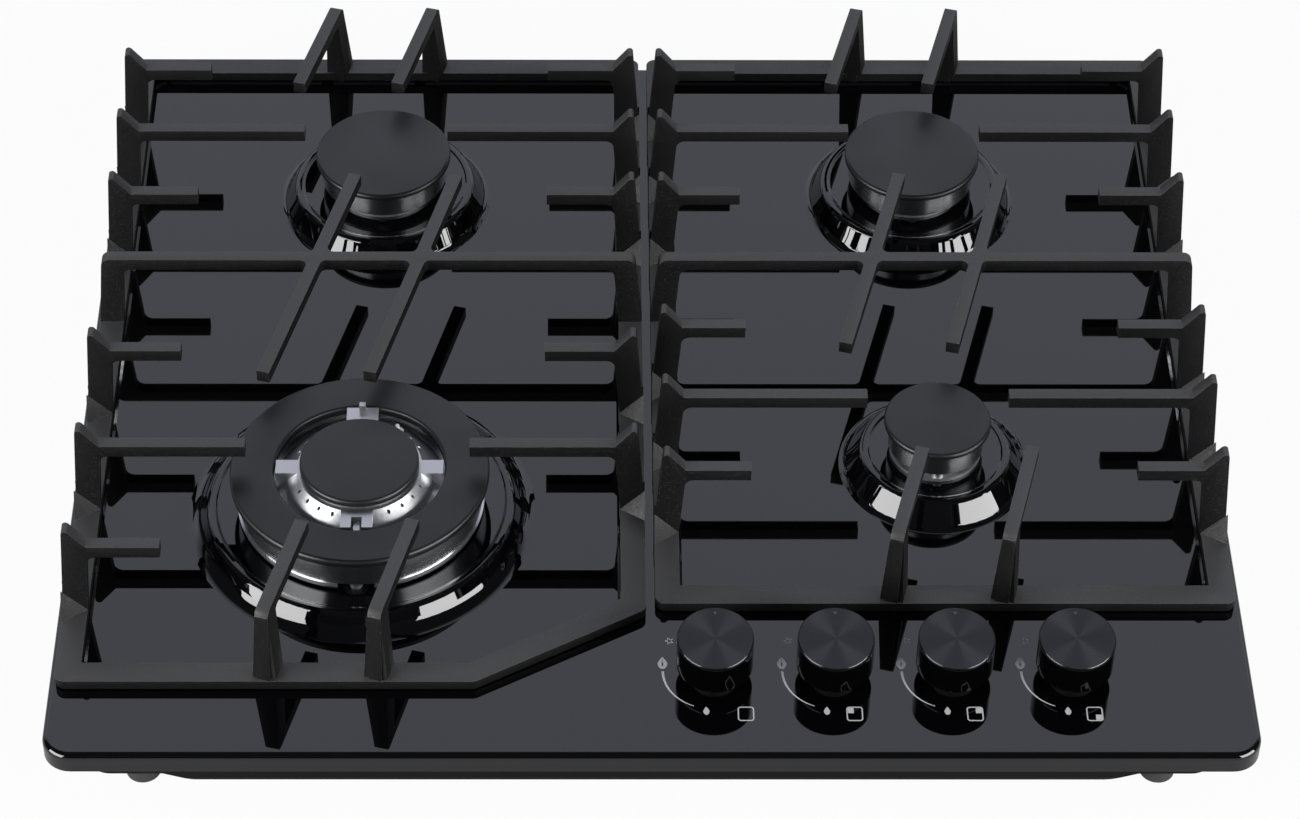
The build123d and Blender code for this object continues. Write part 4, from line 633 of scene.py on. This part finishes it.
@dataclass
class WokBurner:
    """Two-ring burner with its skirt, ring cap, crown and inner cap."""

    def build(self) -> None:
        """Dress the burner's nodes."""
        centre = middle("wok_inner_cap")
        turned = TurnedMetal("wok_turned", (centre.x, centre.y, 0.0))
        # the base takes the same near-black paint as the underbox
        dress("wok_burner_base", DARK_SHADE_PAINT)
        dress("wok_injectors", BRASS)
        dress("wok_electrode", CERAMIC)
        dress("wok_burner_ring", turned)
        dress("wok_ring_cap", CAP_ENAMEL)
        dress("wok_inner_crown", CROWN_CASTING)
        dress("wok_inner_cap", CAP_ENAMEL)


@dataclass
class Control:
    """One knob with its disc, spindle, valve and plug, and the knob's pointer dot."""

    number: int
    tilt: float = 6.6
    disc_colour: Colour = (0.085, 0.086, 0.093)
    disc_shade: Colour = (0.062, 0.063, 0.068)
    disc_roughness: float = 0.30
    disc_anisotropy: float = 0.9
    dot_radius: float = 0.7 * MM
    dot_inset: float = 3.0 * MM
    dot_rise: float = 0.4 * MM
    dot_height: float = 0.05 * MM
    dot_sides: int = 24

    def build(self) -> None:
        """Dress the control's nodes and add its dot."""
        low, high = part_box(f"knob_disc_{self.number}")
        centre = (low + high) / 2
        tilt = math.radians(self.tilt)
        axis = (0.0, -math.sin(tilt), math.cos(tilt))
        disc = TurnedMetal(
            f"knob_disc_{self.number}_spun", tuple(centre), axis, self.disc_colour, self.disc_shade,
            roughness=self.disc_roughness, anisotropy=self.disc_anisotropy,
        )
        dress(f"knob_{self.number}", KNOB_GLOSS)
        dress(f"knob_disc_{self.number}", disc)
        dress(f"spindle_{self.number}", GALVANISED)
        dress(f"valve_plug_{self.number}", BRASS)
        dress(f"gas_valve_{self.number}", BODY_CASTING)
        self.dot(high, centre, tilt)

    def dot(self, high: Vector, centre: Vector, tilt: float) -> None:
        """Print the pointer dot near the back of the disc.

        Args:
            high: highest corner of the disc's box.
            centre: middle of the disc's box.
            tilt: the disc's slope in radians.
        """
        reach = (high.y - centre.y) / math.cos(tilt) - self.dot_inset
        mesh = bmesh.new()
        bmesh.ops.create_cone(
            mesh, cap_ends=True, segments=self.dot_sides, radius1=self.dot_radius, radius2=self.dot_radius,
            depth=self.dot_height,
        )
        slope = Matrix.Rotation(tilt, 4, "X")
        place = Matrix.Translation(centre) @ slope @ Matrix.Translation((0.0, reach, self.dot_rise))
        bmesh.ops.transform(mesh, matrix=place, verts=mesh.verts)
        finished_piece(f"knob_{self.number}_dot", mesh, DOT_PRINT, f"knob_{self.number}")


@dataclass
class GasTrain:
    """Rail, pipes, nipple, collars and spark generator inside the box."""

    pipes: tuple[str, ...] = (
        "wok_pipe", "back_left_pipe", "back_right_pipe", "front_right_pipe", "supply_pipe",
    )

    def build(self) -> None:
        """Dress the gas train's nodes."""
        for pipe in self.pipes:
            dress(pipe, DRAWN_TUBE)
        dress("gas_rail", GALVANISED)
        dress("gas_inlet", BRASS)
        dress("ignition_module", MODULE)
        dress("spindle_collars", RUBBER)


class Corner(Enum):
    """Which corner of a position mark is filled, as steps right and back from its middle."""

    NONE = (0, 0)
    BACK_LEFT = (-1, 1)
    BACK_RIGHT = (1, 1)
    FRONT_RIGHT = (1, -1)


@dataclass
class PanelSigns:
    """White signs printed on the panel round each knob."""

    surface: float = 50.0 * MM
    thickness: float = 0.03 * MM
    line: float = 0.62 * MM
    star_place: tuple[float, float] = (-21.4 * MM, 21.9 * MM)
    star_radius: float = 2.5 * MM
    star_points: int = 5
    star_waist: float = 0.45
    star_line_share: float = 0.55
    flame_place: tuple[float, float] = (-24.9 * MM, 7.5 * MM)
    flame_height: float = 7.6 * MM
    flame_hollow: float = 0.8
    flame_wall: float = 0.16
    flame_sides: int = 28
    flame_width: float = 0.62
    flame_taper: float = 0.55
    flame_taper_power: float = 0.8
    slit_drop: float = 0.16
    slit_width: float = 0.5
    small_flame_place: tuple[float, float] = (-4.3 * MM, -23.0 * MM)
    small_flame_height: float = 4.9 * MM
    arc_radii: tuple[float, float] = (24.9 * MM, 22.4 * MM)
    arc_angles: tuple[float, float] = (175.0, 243.0)
    arc_widths: tuple[float, float] = (1.25 * MM, 0.4 * MM)
    arc_steps: int = 40
    mark_size: tuple[float, float] = (7.9 * MM, 9.0 * MM)
    mark_round: float = 1.6 * MM
    mark_round_steps: int = 6
    mark_drop: float = -24.9 * MM
    patch_share: float = 0.36
    patch_shift: float = 0.23
    marks: tuple[tuple[Corner, float], ...] = (
        (Corner.NONE, 14.6 * MM),
        (Corner.BACK_LEFT, 8.9 * MM),
        (Corner.BACK_RIGHT, 8.8 * MM),
        (Corner.FRONT_RIGHT, 8.3 * MM),
    )

    def outline(self, mesh: bmesh.types.BMesh, face: bmesh.types.BMFace, width: float) -> None:
        """Leave only a line along a face's edge.

        Args:
            mesh: the mesh that holds the face.
            face: the face, which goes.
            width: the line's width.
        """
        bmesh.ops.inset_region(mesh, faces=[face], thickness=width, use_boundary=True, use_even_offset=True)
        bmesh.ops.delete(mesh, geom=[face], context="FACES")

    def move(self, mesh: bmesh.types.BMesh, verts: Verts, x: float, y: float) -> None:
        """Move vertices over the panel."""
        bmesh.ops.translate(mesh, verts=verts, vec=(x, y, 0.0))

    def star(self, mesh: bmesh.types.BMesh, x: float, y: float) -> None:
        """Star in outline, with one point at the back.

        Args:
            mesh: the mesh to add to.
            x: its middle from left to right.
            y: its middle from front to back.
        """
        step = math.tau / (2 * self.star_points)
        made = bmesh.ops.create_circle(
            mesh, cap_ends=True, segments=2 * self.star_points, radius=self.star_radius,
        )
        verts = made["verts"]
        face = verts[0].link_faces[0]
        bmesh.ops.rotate(mesh, verts=verts, cent=(0, 0, 0), matrix=Matrix.Rotation(step / 2, 3, "Z"))
        inner = [
            vert for vert in verts
            if round((math.atan2(vert.co.y, vert.co.x) - math.pi / 2) / step) % 2
        ]
        bmesh.ops.scale(mesh, verts=inner, vec=(self.star_waist, self.star_waist, 1.0))
        self.move(mesh, verts, x, y)
        self.outline(mesh, face, self.star_line_share * self.line)

    def flame(self, mesh: bmesh.types.BMesh, x: float, y: float, height: float, hollow: float) -> None:
        """Flame: a drop with its point at the back, and a slit in the larger one.

        Args:
            mesh: the mesh to add to.
            x: its middle from left to right.
            y: its middle from front to back.
            height: its height.
            hollow: length of its slit as a share of the inset drop, or 0 for none.
        """
        made = bmesh.ops.create_circle(
            mesh, cap_ends=True, segments=self.flame_sides, radius=height / 2,
        )
        verts = made["verts"]
        face = verts[0].link_faces[0]
        self.shape_drop(verts, height / 2)
        self.move(mesh, verts, x, y)
        if hollow == 0.0:
            return
        wall = self.flame_wall * height
        bmesh.ops.inset_region(mesh, faces=[face], thickness=wall, use_boundary=True)
        low = Vector((x, y - self.slit_drop * height, 0.0))
        slit = (self.slit_width * hollow, hollow, 1.0)
        bmesh.ops.scale(mesh, verts=list(face.verts), vec=slit, space=Matrix.Translation(-low))
        bmesh.ops.delete(mesh, geom=[face], context="FACES")

    def shape_drop(self, verts: Verts, radius: float) -> None:
        """Pull a circle into a drop with its point at the back.

        Args:
            verts: the circle's vertices, round the origin.
            radius: the circle's radius.
        """
        for vert in verts:
            rise = max(vert.co.y / radius, 0.0)
            vert.co.x *= self.flame_width * (1.0 - self.flame_taper * rise ** self.flame_taper_power)

    def arc(self, mesh: bmesh.types.BMesh, x: float, y: float) -> None:
        """Tapering arc from the large flame to the small one.

        Args:
            mesh: the mesh to add to.
            x: the circle's middle from left to right.
            y: the circle's middle from front to back.
        """
        start = math.radians(self.arc_angles[0])
        sweep = math.radians(self.arc_angles[1] - self.arc_angles[0])
        half = self.arc_widths[0] / 2
        ends = [mesh.verts.new((self.arc_radii[0] + offset, 0.0, 0.0)) for offset in (-half, half)]
        edge = mesh.edges.new(ends)
        bmesh.ops.rotate(mesh, verts=ends, cent=(0, 0, 0), matrix=Matrix.Rotation(start, 3, "Z"))
        before = set(mesh.verts) - set(ends)
        bmesh.ops.spin(
            mesh, geom=[*ends, edge], cent=(0, 0, 0), axis=(0, 0, 1), angle=sweep, steps=self.arc_steps,
        )
        for vert in set(mesh.verts) - before:
            turn = math.atan2(vert.co.y, vert.co.x) % math.tau
            share = (turn - start) / sweep
            radius = self.arc_radii[0] + share * (self.arc_radii[1] - self.arc_radii[0])
            width = self.arc_widths[0] + share * (self.arc_widths[1] - self.arc_widths[0])
            side = 1 if vert.co.length > self.arc_radii[0] else -1
            vert.co *= (radius + side * width / 2) / vert.co.length
        self.move(mesh, list(set(mesh.verts) - before), x, y)

    def mark(self, mesh: bmesh.types.BMesh, x: float, y: float, corner: Corner) -> None:
        """Rounded square with one corner filled, or none.

        Args:
            mesh: the mesh to add to.
            x: its middle from left to right.
            y: its middle from front to back.
            corner: the filled corner.
        """
        width, depth = self.mark_size
        made = bmesh.ops.create_grid(mesh, x_segments=1, y_segments=1, size=0.5)
        verts = made["verts"]
        face = verts[0].link_faces[0]
        bmesh.ops.scale(mesh, verts=verts, vec=(width, depth, 1.0))
        self.move(mesh, verts, x, y)
        bmesh.ops.bevel(
            mesh, geom=verts, offset=self.mark_round, segments=self.mark_round_steps, profile=0.5,
            affect="VERTICES", material=-1,
        )
        here = Vector((x, y, 0.0))
        face = min(mesh.faces, key=lambda each: (each.calc_center_median() - here).length)
        self.outline(mesh, face, self.line)
        if corner is Corner.NONE:
            return
        right, back = corner.value
        patch = bmesh.ops.create_grid(mesh, x_segments=1, y_segments=1, size=0.5)["verts"]
        bmesh.ops.scale(mesh, verts=patch, vec=(self.patch_share * width, self.patch_share * depth, 1.0))
        self.move(mesh, patch, x + right * self.patch_shift * width, y + back * self.patch_shift * depth)

    def thicken(self, mesh: bmesh.types.BMesh) -> None:
        """Give flat signs their thickness and set them on the panel.

        Args:
            mesh: the mesh of the flat signs.
        """
        bmesh.ops.recalc_face_normals(mesh, faces=mesh.faces)
        grown = bmesh.ops.extrude_face_region(mesh, geom=mesh.faces[:])
        risen = [item for item in grown["geom"] if isinstance(item, bmesh.types.BMVert)]
        bmesh.ops.translate(mesh, verts=risen, vec=(0.0, 0.0, self.thickness))
        bmesh.ops.translate(mesh, verts=mesh.verts, vec=(0.0, 0.0, self.surface))
        bmesh.ops.recalc_face_normals(mesh, faces=mesh.faces)

    def build(self) -> None:
        """Print the signs of all knobs."""
        star_x, star_y = self.star_place
        flame_x, flame_y = self.flame_place
        small_x, small_y = self.small_flame_place
        for number, (corner, mark_x) in enumerate(self.marks, start=1):
            knob = middle(f"knob_{number}")
            mesh = bmesh.new()
            self.star(mesh, knob.x + star_x, knob.y + star_y)
            self.flame(mesh, knob.x + flame_x, knob.y + flame_y, self.flame_height, self.flame_hollow)
            self.flame(mesh, knob.x + small_x, knob.y + small_y, self.small_flame_height, 0.0)
            self.arc(mesh, knob.x, knob.y)
            self.mark(mesh, knob.x + mark_x, knob.y + self.mark_drop, corner)
            self.thicken(mesh)
            finished_piece(f"signs_{number}", mesh, PRINT, "hob")


# ---------------------------------------------------------------- studio
@dataclass
class Softbox:
    """One rectangular lamp, aimed at the middle of the panel."""

    name: str
    azimuth: float
    elevation: float = 18.5
    distance: float = 2.4
    width: float = 1.90
    height: float = 1.38
    radiance: float = 11.5

    def build(self) -> None:
        """Hang the lamp: azimuth 0 is in front of the panel, 90 to its right."""
        data = bpy.data.lights.new(self.name, "AREA")
        data.shape = "RECTANGLE"
        data.size = self.width
        data.size_y = self.height
        data.energy = self.radiance * math.pi * self.width * self.height
        lamp = bpy.data.objects.new(self.name, data)
        bpy.context.scene.collection.objects.link(lamp)
        around, above = math.radians(self.azimuth), math.radians(self.elevation)
        flat = math.cos(above)
        way = Vector((math.sin(around) * flat, -math.cos(around) * flat, math.sin(above)))
        lamp.location = way * self.distance
        lamp.rotation_euler = way.to_track_quat("Z", "Y").to_euler()


@dataclass
class Studio:
    """Pale floor, backdrop, two soft boxes and the camera."""

    floor_size: float = 12.0
    floor_colour: Colour = (0.52, 0.52, 0.52)
    floor_roughness: float = 0.9
    floor_glow_share: float = 0.95
    backdrop: Colour = (0.97, 1.0, 1.13)
    backdrop_low: float = 0.06
    backdrop_edge: Range = (0.42, 0.60)
    horizon_low: float = 0.3
    horizon_edge: Range = (0.05, 0.35)
    camera_place: tuple[float, float, float] = (-0.0318, -1.4395, 1.4462)
    camera_pitch: float = 0.7774878
    camera_yaw: float = 0.0085117
    camera_roll: float = 0.0067231
    focal_length: float = 106.82
    shift: float = 0.03146
    lamps: tuple[Softbox, ...] = field(
        default_factory=lambda: (Softbox("left_box", -55.0), Softbox("right_box", 55.0)),
    )

    def floor(self) -> None:
        """White floor that keeps a soft shadow."""
        mesh = bmesh.new()
        bmesh.ops.create_grid(mesh, x_segments=1, y_segments=1, size=self.floor_size / 2)
        data = bpy.data.meshes.new("studio_floor")
        mesh.to_mesh(data)
        mesh.free()
        material, graph, shader = new_material("floor_paper")
        shader.inputs["Base Color"].default_value = (*self.floor_colour, 1.0)
        shader.inputs["Roughness"].default_value = self.floor_roughness
        shader.inputs["Specular IOR Level"].default_value = 0.0
        glow = graph.add("Emission")
        seen = graph.math("MULTIPLY", graph.add("LightPath").outputs["Is Camera Ray"], self.floor_glow_share)
        mix = graph.add("MixShader")
        graph.join(seen, mix.inputs["Fac"])
        graph.join(shader.outputs["BSDF"], mix.inputs[1])
        graph.join(glow.outputs["Emission"], mix.inputs[2])
        output = material.node_tree.nodes["Material Output"]
        graph.join(mix.outputs["Shader"], output.inputs["Surface"])
        data.materials.append(material)
        floor = bpy.data.objects.new("studio_floor", data)
        bpy.context.scene.collection.objects.link(floor)

    def world(self) -> None:
        """White to the camera; as light, a bright backdrop behind the panel and little in front."""
        world = bpy.data.worlds.new("studio")
        bpy.context.scene.world = world
        world.use_nodes = True
        graph = Graph(world.node_tree)
        background = world.node_tree.nodes["Background"]
        way = graph.add("SeparateXYZ")
        graph.join(graph.add("TexCoord").outputs["Generated"], way.inputs["Vector"])
        behind = graph.remap(way.outputs["Y"], self.backdrop_edge, (self.backdrop_low, 1.0))
        above = graph.remap(way.outputs["Z"], self.horizon_edge, (self.horizon_low, 1.0))
        light = graph.math("MULTIPLY", behind, above)
        seen = graph.add("LightPath").outputs["Is Camera Ray"]
        strength = graph.math("MAXIMUM", light, seen)
        graph.join(strength, background.inputs["Strength"])
        tint = graph.blend(seen, self.backdrop, WHITE)
        graph.join(tint, background.inputs["Color"])

    def camera(self) -> None:
        """Camera at the photograph's place and angle."""
        pitch, yaw, roll = self.camera_pitch, self.camera_yaw, self.camera_roll
        ahead = Vector((math.sin(yaw) * math.cos(pitch), math.cos(yaw) * math.cos(pitch), -math.sin(pitch)))
        right = Vector((math.cos(yaw), -math.sin(yaw), 0.0))
        up = right.cross(ahead)
        rolled_right = math.cos(roll) * right + math.sin(roll) * up
        rolled_up = math.cos(roll) * up - math.sin(roll) * right
        data = bpy.data.cameras.new("camera")
        data.lens = self.focal_length
        data.shift_x = self.shift
        camera = bpy.data.objects.new("camera", data)
        bpy.context.scene.collection.objects.link(camera)
        turn = Matrix((rolled_right, rolled_up, -ahead)).transposed().to_4x4()
        camera.matrix_world = Matrix.Translation(self.camera_place) @ turn
        bpy.context.scene.camera = camera

    def build(self) -> None:
        """Set up the floor, the light and the camera."""
        bpy.context.scene.view_settings.view_transform = "Standard"
        self.floor()
        self.world()
        for lamp in self.lamps:
            lamp.build()
        self.camera()


def main() -> None:
    """Build every sub-assembly in order."""
    logging.basicConfig(level=logging.INFO, format="%(name)s %(message)s")
    Studio().build()
    Casing().build()
    for side in SIDES:
        PanSupport(side).build()
    for name in SINGLE_BURNERS:
        SingleBurner(name).build()
    WokBurner().build()
    for number in KNOBS:
        Control(number).build()
    GasTrain().build()
    PanelSigns().build()


if __name__ == "__main__":
    main()
